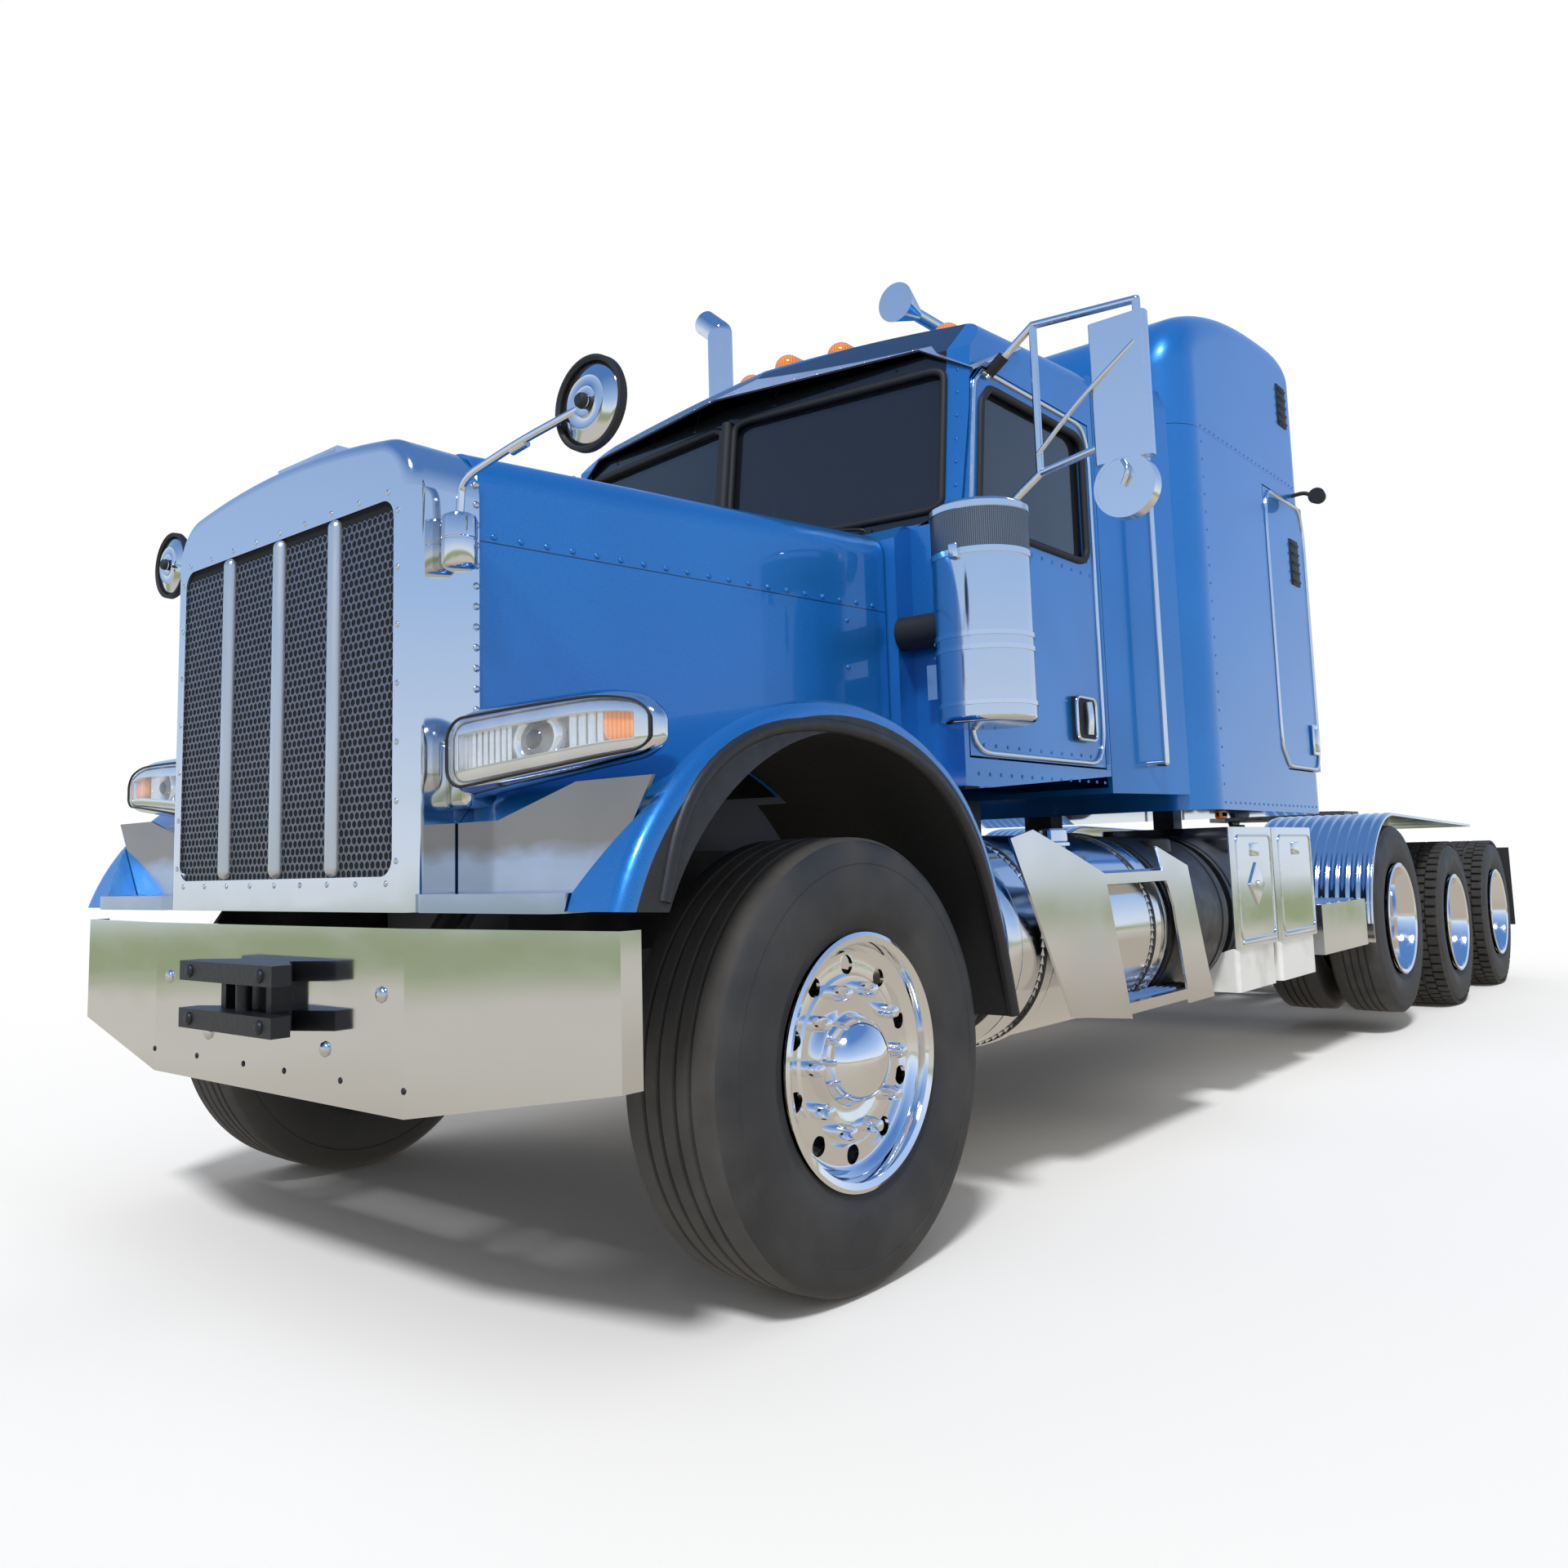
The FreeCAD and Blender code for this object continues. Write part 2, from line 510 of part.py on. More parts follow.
def hub_details(face, reach):
    """Hub cap and ring of nut covers standing outward from a disc face."""
    pieces = [bar((face, f"{face} + {reach}"), "0", "0", "hub_cap_dia")]
    for i in range(10):
        turn = 2 * math.pi * i / 10
        pieces.append(bar((face, f"{face} + nut_length"), f"nut_circle / 2 * {math.cos(turn):.12f}",
                          f"nut_circle / 2 * {math.sin(turn):.12f}", "nut_dia"))
    return pieces


def steer_rim():
    disc_end = f"{steer_disc_place} + disc_wall"
    disc = bar((steer_disc_place, disc_end), "0", "0", "rim_well_dia - rim_wall")
    return fused(turned([rim_outline("steer_track / 2")]), disc, *hub_details(disc_end, "steer_cap_reach"))


def twin_rims():
    """Both rims of a twin wheel, their discs face to face, with one hub cap outside."""
    outer = turned([rim_outline("twin_mid_x + twin_spacing / 2")])
    inner = turned([rim_outline("twin_mid_x - twin_spacing / 2")])
    disc = bar(("twin_mid_x - disc_wall", "twin_mid_x + disc_wall"), "0", "0", "rim_well_dia - rim_wall")
    half = "(twin_spacing / 2 - rim_width / 2 + tyre_shoulder)"
    sleeve = bar((f"twin_mid_x - {half}", f"twin_mid_x + {half}"), "0", "0", "rim_well_dia")
    well = bar((f"twin_mid_x - {half} - over", f"twin_mid_x + {half} + over"), "0", "0", "rim_well_dia - 2 * rim_wall")
    return fused(outer, inner, less(sleeve, well), disc, *hub_details("twin_mid_x + disc_wall", "drive_cap_reach"))


def placed_rims(label, rims, y, z, side):
    wheel = on_side(rims, side)
    wheel.Placement = Placement(Vector(0, y, z), Rotation())
    return keep(wheel, label)


wheel_rows = [("pusher", s.last_axle_y - 2 * s.axle_spacing, s.drive_tyre_dia / 2 + s.lift_height),
              ("drive_front", s.last_axle_y - s.axle_spacing, s.drive_tyre_dia / 2),
              ("drive_rear", s.last_axle_y, s.drive_tyre_dia / 2)]
for side, word in ((1, "left"), (-1, "right")):
    turned_tyres(f"steer_tyre_{word}", ["steer_track / 2"], "steer_tyre_dia", "steer_tyre_width", 0, steer_hub_z, side)
    placed_rims(f"steer_rim_{word}", steer_rim(), 0, steer_hub_z, side)
    for name, y, z in wheel_rows:
        twin_mids = ["twin_mid_x + twin_spacing / 2", "twin_mid_x - twin_spacing / 2"]
        turned_tyres(f"{name}_tyres_{word}", twin_mids, "drive_tyre_dia", "drive_tyre_width", y, z, side)
        placed_rims(f"{name}_rims_{word}", twin_rims(), y, z, side)


# Rear axles: tube, centre casing, brake drums, trailing beams and air springs under the rails
def rear_axle(y, z, driven):
    tip = "twin_mid_x - disc_wall - seat_gap"
    rails_foot = "rail_top - rail_height"
    pieces = [bar((f"-({tip})", tip), y, z, "axle_tube_dia")]
    if driven:
        pieces.append(bar(("-banjo_width / 2", "banjo_width / 2"), y, z, "banjo_dia"))
    across = ("rail_outer - rail_flange", "rail_outer")
    low, high = f"{z} - trail_beam_height / 2", f"{z} + trail_beam_height / 2"
    left = [bar((f"{tip} - drum_wall", tip), y, z, "drum_dia"),
            block(across, (f"{y} - trail_beam_reach", f"{y} + trail_beam_reach / 2"), (low, high)),
            block(across, (f"{y} - trail_beam_reach", f"{y} - trail_beam_reach + rail_flange"), (low, rails_foot)),
            post("rail_outer - rail_flange / 2", f"{y} + trail_beam_reach / 2 - air_spring_dia / 2",
                 (high, rails_foot), "rail_flange")]
    return fused(*pieces, *left, *[other_hand(piece) for piece in left])


rear_axles = doc.addObject("Part::Compound", "rear_axles")
rear_axles.Links = [rear_axle("last_axle_y - 2 * axle_spacing", "drive_tyre_dia / 2 + lift_height", False),
                    rear_axle("last_axle_y - axle_spacing", "drive_tyre_dia / 2", True),
                    rear_axle("last_axle_y", "drive_tyre_dia / 2", True)]
keep(rear_axles, "rear_axles")


def drive_shafts():
    front_drive_y = s.last_axle_y - s.axle_spacing
    hub_z = s.drive_tyre_dia / 2
    start = Vector(0, s.gearbox_rear, s.gearbox_low + s.shaft_dia)
    mid = Vector(0, (s.gearbox_rear + front_drive_y) / 2, s.gearbox_low + s.shaft_dia)
    end = Vector(0, front_drive_y - s.banjo_dia / 2, hub_z + s.shaft_dia)
    first = bent_tube([start, mid, end], s.shaft_dia)
    second = rod(Vector(0, front_drive_y + s.banjo_dia / 2, hub_z), Vector(0, s.last_axle_y - s.banjo_dia / 2, hub_z),
                 s.shaft_dia)
    return Part.makeCompound([first, second])


feature("drive_shafts", drive_shafts())


# Engine and gearbox as plain blocks, and the radiator in front of them
engine = block(("-engine_width / 2", "engine_width / 2"), ("-engine_front", "engine_rear"), ("engine_low", "engine_high"))
gearbox = block(("-gearbox_width / 2", "gearbox_width / 2"), ("engine_rear", "gearbox_rear"),
                ("gearbox_low", "gearbox_high"))
foot_y = "(engine_rear - engine_front) / 2"
foot_z = "rail_top - rail_height + rail_wall"
feet = block(("rail_wall - rail_outer", "rail_outer - rail_wall"),
             (f"{foot_y} - cross_width / 2", f"{foot_y} + cross_width / 2"), (foot_z, f"{foot_z} + cross_height"))
keep(fused(engine, gearbox, feet), "engine_block")
core = block(("-radiator_width / 2", "radiator_width / 2"), ("radiator_y", "radiator_y + radiator_wall"),
             ("radiator_low", "radiator_high"))
radiator = doc.addObject("Part::Compound", "radiator")
radiator.Links = [core]
keep(radiator, "radiator")


# Bumper: a polished plate, flat in the middle, with swept ends, cut-up lower corners and returns
def front_bumper():
    face_y = -s.front_overhang
    half, flat = s.bumper_half, s.bumper_flat_half
    outer = [(-half, face_y + s.bumper_sweep), (-flat, face_y), (flat, face_y), (half, face_y + s.bumper_sweep)]
    wall = s.bumper_wall
    inner = [(x * (half - wall) / half, y + wall) for x, y in reversed(outer)]
    returns = [(half, face_y + s.bumper_sweep + s.bumper_return), (half - wall, face_y + s.bumper_sweep + s.bumper_return)]
    mirror_returns = [(-x, y) for x, y in reversed(returns)]
    ring = outer + returns + inner + mirror_returns
    body = plate_z(ring, s.bumper_low, s.bumper_top)
    lip = [(x, y) for x, y in outer] + [(x * (half - wall) / half, y + s.bumper_lip) for x, y in reversed(outer)]
    body = body.fuse(plate_z(lip, s.bumper_top - wall, s.bumper_top))
    for side in (-1, 1):
        corner = [(side * flat, s.bumper_low - s.over), (side * (half + s.over), s.bumper_low - s.over),
                  (side * (half + s.over), s.bumper_end_low), (side * half, s.bumper_end_low),
                  (side * flat, s.bumper_low)]
        body = body.cut(plate_y(corner, face_y - s.over, face_y + s.bumper_sweep + s.bumper_return + s.over))
        x0, x1 = side * (s.rail_outer - s.bumper_bracket), side * s.rail_outer
        body = body.fuse(box(x0, x1, face_y + wall, -s.frame_front, rail_low, rail_low + s.bumper_bracket))
    return body.removeSplitter()


feature("front_bumper", front_bumper())


def tow_coupling():
    """Two thick jaws and side cheeks on a back plate, with an upright pin across the throat."""
    face = "-front_overhang"
    front = "-front_overhang - coupling_reach"
    height = ("coupling_low", "coupling_high")
    pieces = [block(("-coupling_width / 4", "coupling_width / 4"), (f"{face} - coupling_jaw / 2", face), height)]
    lips = [("-coupling_width / 2", front), ("coupling_width / 2", front), ("coupling_width / 2", f"{front} + coupling_jaw"),
            ("coupling_width / 4", f"{face} - seat_gap"), ("-coupling_width / 4", f"{face} - seat_gap"),
            ("-coupling_width / 2", f"{front} + coupling_jaw")]
    for span in (("coupling_low", "coupling_low + coupling_jaw"), ("coupling_high - coupling_jaw", "coupling_high")):
        pieces.append(slab(lips, span, "z"))
    cheek = block(("coupling_throat / 2", "coupling_throat / 2 + coupling_jaw / 2"), (f"{face} - coupling_jaw", face), height)
    pin = post("0", "-front_overhang - coupling_reach / 2", height, "coupling_pin_dia")
    return fused(*pieces, cheek, other_hand(cheek), pin)


keep(tow_coupling(), "tow_coupling")


# Grille shell: an arched polished surround with a rectangular opening, hinge arms and a pull strap
def arched_wire(half, low, side_top, crown, corner, y):
    """Closed front-view outline with rounded upper corners and a gently crowned top."""
    arc_end = Vector(half - corner, y, crown - (crown - side_top) / 5)
    turn = math.pi / 2 - math.atan(2 * (crown - arc_end.z) / arc_end.x)
    radius = corner / (1 - math.cos(turn))
    side_end = Vector(half, y, arc_end.z - radius * math.sin(turn))
    mid = Vector(half - radius * (1 - math.cos(turn / 2)), y, side_end.z + radius * math.sin(turn / 2))
    flip = lambda p: Vector(-p.x, p.y, p.z)
    edges = [Part.LineSegment(Vector(half, y, low), side_end).toShape(),
             Part.Arc(side_end, mid, arc_end).toShape(),
             Part.Arc(arc_end, Vector(0, y, crown), flip(arc_end)).toShape(),
             Part.Arc(flip(arc_end), flip(mid), flip(side_end)).toShape(),
             Part.LineSegment(flip(side_end), Vector(-half, y, low)).toShape(),
             Part.LineSegment(Vector(-half, y, low), Vector(half, y, low)).toShape()]
    return Part.Wire(edges)


def grille_shell():
    front = -s.shell_front
    back = front + s.shell_depth
    w = s.shell_wall
    outer = Part.Face(arched_wire(s.shell_half, s.shell_low, s.shell_side_top, s.shell_crown, s.shell_corner, front))
    body = outer.extrude(Vector(0, s.shell_depth, 0))
    front_edges = [e for e in body.Edges if abs(e.BoundBox.YMax - front) < w / 8 and e.BoundBox.ZMax > s.shell_low + w]
    body = body.makeFillet(s.shell_edge, front_edges)
    hollow = Part.Face(arched_wire(s.shell_half - w, s.shell_low - s.over, s.shell_side_top - w, s.shell_crown - w,
                                   s.shell_corner - w, front + s.shell_edge))
    body = body.cut(hollow.extrude(Vector(0, s.shell_depth, 0)))
    step_in = s.shell_edge
    relief = Part.Face(arched_wire(s.shell_half - step_in, s.shell_low - s.over, s.shell_side_top - step_in,
                                   s.shell_crown - step_in, s.shell_corner - step_in, front + w))
    body = body.cut(relief.extrude(Vector(0, s.shell_edge, 0)))
    opening = box(-s.grille_half, s.grille_half, front - s.over, back + s.over, s.grille_low, s.grille_high)
    opening = rounded(opening, s.grille_corner, lambda e: runs_along(e, Y_AXIS))
    body = body.cut(opening)
    pieces = [body]
    arm_rear = back - s.panel_gap
    eye = s.hinge_eye / 2
    for side in (-1, 1):
        x1 = side * (s.shell_half - w)
        x0 = x1 - side * s.hinge_plate
        neck = [(s.hinge_y, s.hinge_z - eye), (s.hinge_y + eye, s.hinge_z - eye), (arm_rear, s.shell_low - eye / 2),
                (arm_rear, s.shell_low + s.ledge_thick * 4), (arm_rear - eye / 2, s.shell_low + s.ledge_thick * 4),
                (arm_rear - eye / 2, s.shell_low), (s.hinge_y, s.hinge_z + eye), (s.hinge_y - eye, s.hinge_z)]
        arm = plate_x(neck, x0, x1)
        arm = arm.cut(rod(Vector(x0 - side * s.over, s.hinge_y, s.hinge_z), Vector(x1 + side * s.over, s.hinge_y, s.hinge_z),
                          s.hinge_pin_dia + 2 * s.axle_fit))
        pieces.append(arm)
    mid_y = front + s.shell_depth / 2
    seat = s.shell_crown - s.strap_rise
    top = s.shell_crown + s.strap_rise
    strap = [(-s.strap_half, seat), (-s.strap_half, top), (s.strap_half, top), (s.strap_half, seat),
             (s.strap_half - w, seat), (s.strap_half - w, top - w), (w - s.strap_half, top - w), (w - s.strap_half, seat)]
    band = plate_y(strap, mid_y - s.bar_dia / 2, mid_y + s.bar_dia / 2)
    below = Part.Face(arched_wire(s.shell_half - w / 2, s.shell_low, s.shell_side_top - w / 2, s.shell_crown - w / 2,
                                  s.shell_corner, front))
    pieces.append(band.cut(below.extrude(Vector(0, s.shell_depth, 0))))
    return join(pieces)


feature("grille_shell", grille_shell())


def grille_mesh():
    """Flat mesh plate behind the opening with three upright half-round bars on it."""
    back = -s.shell_front + s.shell_wall
    lap = s.mesh_lap
    plate = box(-s.grille_half - lap, s.grille_half + lap, back, back + s.mesh_wall, s.grille_low - lap, s.grille_high + lap)
    pieces = [plate]
    for i in (-1, 0, 1):
        x = i * s.bar_pitch
        r = s.bar_dia / 2
        bar = Part.makeCylinder(r, s.grille_high - s.grille_low - s.bar_dia, Vector(x, back, s.grille_low + r))
        bar = bar.fuse(Part.makeSphere(r, Vector(x, back, s.grille_low + r)))
        bar = bar.fuse(Part.makeSphere(r, Vector(x, back, s.grille_high - r)))
        pieces.append(bar.common(box(x - s.bar_dia, x + s.bar_dia, back - s.bar_dia, back + s.mesh_wall / 2,
                                     s.grille_low, s.grille_high)))
    return join(pieces)


feature("grille_mesh", grille_mesh())


# Hood: a crowned shell that widens to the rear, open below and at both ends
def hood_section(half, low, top, inset, y):
    r = s.hood_shoulder - inset
    side = half - inset
    crown = top - inset
    shoulder_z = top - s.hood_drop - s.hood_shoulder
    arc_end = Vector(side - r, y, shoulder_z + r)
    mid = Vector(side - r + r / math.sqrt(2), y, shoulder_z + r / math.sqrt(2))
    side_end = Vector(side, y, shoulder_z)
    flip = lambda p: Vector(-p.x, p.y, p.z)
    bottom = low - (s.over if inset else 0)
    edges = [Part.LineSegment(Vector(side, y, bottom), side_end).toShape(),
             Part.Arc(side_end, mid, arc_end).toShape(),
             Part.Arc(arc_end, Vector(0, y, crown), flip(arc_end)).toShape(),
             Part.Arc(flip(arc_end), flip(mid), flip(side_end)).toShape(),
             Part.LineSegment(flip(side_end), Vector(-side, y, bottom)).toShape(),
             Part.LineSegment(Vector(-side, y, bottom), Vector(side, y, bottom)).toShape()]
    return Part.Wire(edges)


hood_front_y = -s.shell_front + s.shell_depth


def along_hood(share, front, rear):
    return front + (rear - front) * share


def hood_body(inset, over):
    """The hood as a full body, inset by a wall and run past both ends by an overrun."""
    over_share = over / (s.hood_rear_y - hood_front_y)
    sections = []
    for share in (-over_share, 1 + over_share):
        y = along_hood(share, hood_front_y, s.hood_rear_y)
        sections.append(hood_section(along_hood(share, s.hood_front_half, s.hood_rear_half),
                                     along_hood(share, s.hood_front_low, s.hood_rear_low),
                                     along_hood(share, s.hood_front_top, s.hood_rear_top), inset, y))
    return Part.makeLoft(sections, True, True)


feature("hood_shell", hood_body(0, 0).cut(hood_body(s.hood_wall, s.over)))

# Fenders: an arched shell over each steered wheel, from the hood side out to a rounded flare
arch_span = s.steer_tyre_dia / 2
outer_arch_shares = ((-1.547, 1.730), (-1.19, 2.25), (-0.43, 2.585), (0.42, 2.50), (0.95, 2.13), (1.19, 1.66), (1.275, 1.06))
inner_arch_shares = ((-1.30, 1.717), (-1.0, 2.12), (-0.37, 2.435), (0.37, 2.37), (0.83, 2.03), (1.11, 1.62), (1.222, 1.06))


def arch_edge(shares, x):
    points = [Vector(x, y * arch_span, z * arch_span) for y, z in shares]
    curve = Part.BSplineCurve()
    curve.interpolate(points)
    return curve.toShape(), points


def plate_pocket(grow):
    """The room beside the grille foot that the ledge and its upright plate fill."""
    x0, edge = s.hood_front_half - s.over, s.plate_low_x + s.panel_gap
    foot = s.shell_low - s.over
    outline = [(x0, foot), (edge, foot), (edge, s.shell_low + s.ledge_thick), (s.plate_top_x + s.panel_gap, s.plate_top_z),
               (s.plate_top_x + s.panel_gap, s.lamp_high), (x0, s.lamp_high)]
    return plate_y(outline, -s.shell_front - s.over, -s.shell_front + s.ledge_depth + grow)


def fender():
    inner_x = s.hood_front_half + s.hood_wall
    top_edge, top_points = arch_edge(outer_arch_shares, inner_x)
    low_edge, low_points = arch_edge(inner_arch_shares, inner_x)
    wire = Part.Wire([top_edge, Part.LineSegment(top_points[-1], low_points[-1]).toShape(), low_edge,
                      Part.LineSegment(low_points[0], top_points[0]).toShape()])
    body = Part.Face(wire).extrude(Vector(s.fender_outer - inner_x, 0, 0))
    rim = [e for e in body.Edges if e.BoundBox.XMin > s.fender_outer - s.fender_edge and e.BoundBox.ZMax > 2.55 * arch_span
           and e.BoundBox.XLength < s.seat_gap]
    body = body.makeFillet(s.fender_edge, rim)
    return body.cut(hood_body(-s.seat_gap, s.over)).cut(plate_pocket(s.seat_gap))


feature("fenders", both(fender()))


def under_arch():
    """All that lies below the fender's outer arch, with a small gap added."""
    edge, points = arch_edge(outer_arch_shares, s.hood_front_half)
    low = points[-1].z - s.over
    front_low = Vector(points[0].x, points[0].y, low)
    rear_low = Vector(points[-1].x, points[-1].y, low)
    wire = Part.Wire([edge, Part.LineSegment(points[-1], rear_low).toShape(), Part.LineSegment(rear_low, front_low).toShape(),
                      Part.LineSegment(front_low, points[0]).toShape()])
    solid = Part.Face(wire).extrude(Vector(s.lamp_outer_x + s.over - s.hood_front_half, 0, 0))
    return solid.fuse(solid.translated(Vector(0, -s.tyre_fit, s.tyre_fit))).cut(plate_pocket(0))


def headlight_pod(grow):
    """A rounded pod that narrows outward, its face swept back a little."""
    x0, x1 = s.lamp_inner_x - grow, s.lamp_outer_x + grow
    low, high = s.lamp_low - grow, s.lamp_high + grow
    front = [(x0, low), (x0, high - s.lamp_rim), (s.lamp_mid_x, high), (x1, high - s.lamp_corner), (x1, low + 1.5 * s.lamp_corner)]
    reach = (s.lamp_inner_y - s.lamp_depth, s.lamp_outer_y + s.lamp_depth)
    body = plate_y(front, *reach)
    corners = [e for e in body.Edges if runs_along(e, Y_AXIS) and abs(e.BoundBox.Center.x - s.lamp_mid_x) > s.lamp_depth]
    body = body.makeFillet(s.lamp_corner, corners)
    plan = [(x0, s.lamp_inner_y - grow), (x1, s.lamp_outer_y - grow), (x1, s.lamp_outer_y + s.lamp_depth / 2 + grow),
            (x0, s.lamp_inner_y + s.lamp_depth + grow)]
    body = body.common(plate_z(plan, low - s.over, high + s.over))
    return rounded(body, s.lamp_rim, lambda e: not runs_along(e, Y_AXIS) and e.BoundBox.YMax < s.lamp_outer_y + s.seat_gap)


def fender_plate():
    """Rounded ledge beside the grille foot with an upright plate standing on it."""
    x0 = s.shell_half + s.panel_gap
    ledge_front = -s.shell_front
    ledge = upright_box(x0, s.plate_low_x, ledge_front, ledge_front + s.ledge_depth,
                        s.shell_low, s.shell_low + s.ledge_thick, s.ledge_thick)
    seat_z = s.shell_low + s.ledge_thick / 2
    outline = [(x0, seat_z), (s.plate_low_x, seat_z), (s.plate_low_x, s.shell_low + s.ledge_thick), (s.plate_top_x, s.plate_top_z), (s.lamp_mid_x, s.plate_top_z),
               (s.lamp_inner_x + s.ledge_depth, s.lamp_low - s.ledge_thick), (x0, s.lamp_low - s.ledge_thick)]
    upright_y = ledge_front + s.ledge_depth - s.plate_wall
    return join([ledge, plate_y(outline, upright_y, upright_y + s.plate_wall)]).cut(headlight_pod(s.seat_gap))


feature("fender_plates", both(fender_plate()))


def headlight():
    """The pod on a stout arm from the shell side."""
    d = s.lamp_depth
    arm = box(s.shell_half + s.seat_gap, s.lamp_inner_x + d / 3, s.lamp_inner_y + d / 4, s.lamp_inner_y + d * 0.8,
              s.lamp_low - s.ledge_thick / 4, s.lamp_low + s.lamp_depth * 0.9)
    arm = rounded(arm, s.ledge_thick / 2, lambda e: runs_along(e, X_AXIS))
    return join([headlight_pod(0), arm]).cut(under_arch()).cut(hood_body(-s.seat_gap, s.over))


feature("headlights", both(headlight()))


def hood_mirror():
    """A round mirror on a bent stalk that rises from a can on the shell side."""
    can_x = s.shell_half + s.seat_gap + s.can_dia / 2
    can = Part.makeCylinder(s.can_dia / 2, s.can_high - s.can_low, Vector(can_x, s.can_y, s.can_low))
    can = can.makeFillet(s.can_dia / 8, [e for e in can.Edges if isinstance(e.Curve, Part.Circle)])
    bend = Vector(can_x + s.tube_dia / 2, s.can_y, s.can_high + s.can_dia)
    centre = Vector(s.hood_mirror_x, s.hood_mirror_y, s.hood_mirror_z)
    stalk = bent_tube([Vector(can_x, s.can_y, s.can_high - s.tube_dia), bend, centre + Vector(0, s.hood_mirror_wall / 2, 0)],
                      s.tube_dia)
    disc = Part.makeCylinder(s.hood_mirror_dia / 2, s.hood_mirror_wall, centre, Y_AXIS)
    return join([stalk, disc, can])


feature("hood_mirrors", both(hood_mirror()))


# Cab: a hollow body with door openings, a two-pane windscreen swept back to its sides, a cambered
# roof with rounded corners and a wide opening to the sleeper
screen_rake = (s.screen_high_y - s.screen_low_y) / (screen_high - s.cowl_top)
brow_rake = (s.roof_front_y - s.screen_high_y) / (roof_front - screen_high)
sweep = s.screen_sweep / s.cab_half


def cab_outline(inset):
    """Side view on the centre line: cowl, raked screen, brow and back, open upward."""
    front, rear = s.cab_front + inset, s.cab_rear + (s.over if inset else 0)
    low = s.cab_low + (s.cab_floor if inset else 0)
    reach = s.cab_roof - roof_front + s.over
    return [(front, low), (front, s.cowl_top - inset), (s.screen_low_y + inset, s.cowl_top - inset),
            (s.screen_low_y + inset, s.cowl_top), (s.screen_high_y + inset, screen_high),
            (s.roof_front_y + reach * brow_rake + inset, roof_front + reach), (rear, roof_front + reach), (rear, low)]


def ahead_of_screen(inset):
    """What lies ahead of the swept screen and brow, on both sides."""
    reach = s.cab_roof - screen_high + 2 * s.over
    pieces = []
    for side in (-1, 1):
        for y0, z0, rise, rake in ((s.screen_low_y, s.cowl_top, screen_high - s.cowl_top, screen_rake),
                                   (s.screen_high_y, screen_high, reach, brow_rake)):
            wide = s.cab_half + s.over
            plan = [(0, y0 + inset), (side * wide, y0 + inset + sweep * wide), (side * wide, s.hood_rear_y), (0, s.hood_rear_y)]
            pieces.append(slanted(plan, z0, rise, rake))
    return pieces


def slanted(plan, z0, rise, rake):
    """A top-view outline carried upward while it leans to the rear."""
    wire = Part.makePolygon([Vector(x, y, z0) for x, y in plan + plan[:1]])
    return Part.Face(wire).extrude(Vector(0, rise * rake, rise))


def under_roof(inset):
    """All that lies under the cambered roof with its rounded corners."""
    half, r = s.cab_half - inset, s.roof_corner - inset
    start_y = s.hood_rear_y
    rise = (s.cab_roof - roof_front) / (s.cab_rear - s.roof_front_y)
    crown = roof_front - (s.roof_front_y - start_y) * rise - inset
    edge_z = crown - s.roof_camber
    low = s.cab_low - s.over
    side_end, arc_end = Vector(half, start_y, edge_z - r), Vector(half - r, start_y, edge_z)
    mid = Vector(half - r * (1 - 1 / math.sqrt(2)), start_y, edge_z - r * (1 - 1 / math.sqrt(2)))
    flip = lambda p: Vector(-p.x, p.y, p.z)
    edges = [Part.LineSegment(Vector(half, start_y, low), side_end).toShape(), Part.Arc(side_end, mid, arc_end).toShape(),
             Part.Arc(arc_end, Vector(0, start_y, crown), flip(arc_end)).toShape(),
             Part.Arc(flip(arc_end), flip(mid), flip(side_end)).toShape(),
             Part.LineSegment(flip(side_end), Vector(-half, start_y, low)).toShape(),
             Part.LineSegment(Vector(-half, start_y, low), Vector(half, start_y, low)).toShape()]
    length = s.cab_rear + 2 * s.over - start_y
    return Part.Face(Part.Wire(edges)).extrude(Vector(0, length, length * rise))


def cab_solid(inset):
    half = s.cab_half - inset
    body = plate_x(cab_outline(inset), -half, half)
    for piece in ahead_of_screen(inset):
        body = body.cut(piece)
    return body.common(under_roof(inset))


def door_outline(grow):
    lean = s.door_lean
    return [(s.door_front - grow, s.door_low - grow), (s.door_rear + grow, s.door_low - grow),
            (s.door_rear + grow, door_high + grow), (s.door_front + 2 * lean + s.window_edge - grow, door_high + grow),
            (s.door_front + 2 * lean - grow, door_high - s.window_edge + grow), (s.door_front + lean - grow, s.window_low + s.window_edge),
            (s.door_front - grow, s.window_low - s.window_edge)]


def window_outline():
    edge = s.window_edge
    lean = s.door_lean
    return [(s.door_front + lean + edge, s.window_low), (s.door_rear - edge, s.window_low),
            (s.door_rear - edge, door_high - edge), (s.door_front + 2 * lean + 2 * edge, door_high - edge),
            (s.door_front + 2 * lean + edge, door_high - 2 * edge)]


def screen_slab(x0, x1, inset_z, offset, wall):
    """A slab lying in one half of the swept screen."""
    low_z, high_z = s.cowl_top + inset_z, screen_high - inset_z
    y_at = lambda x: s.screen_low_y + sweep * abs(x) + screen_rake * inset_z + offset
    plan = [(x0, y_at(x0)), (x1, y_at(x1)), (x1, y_at(x1) + wall), (x0, y_at(x0) + wall)]
    return slanted(plan, low_z, high_z - low_z, screen_rake)


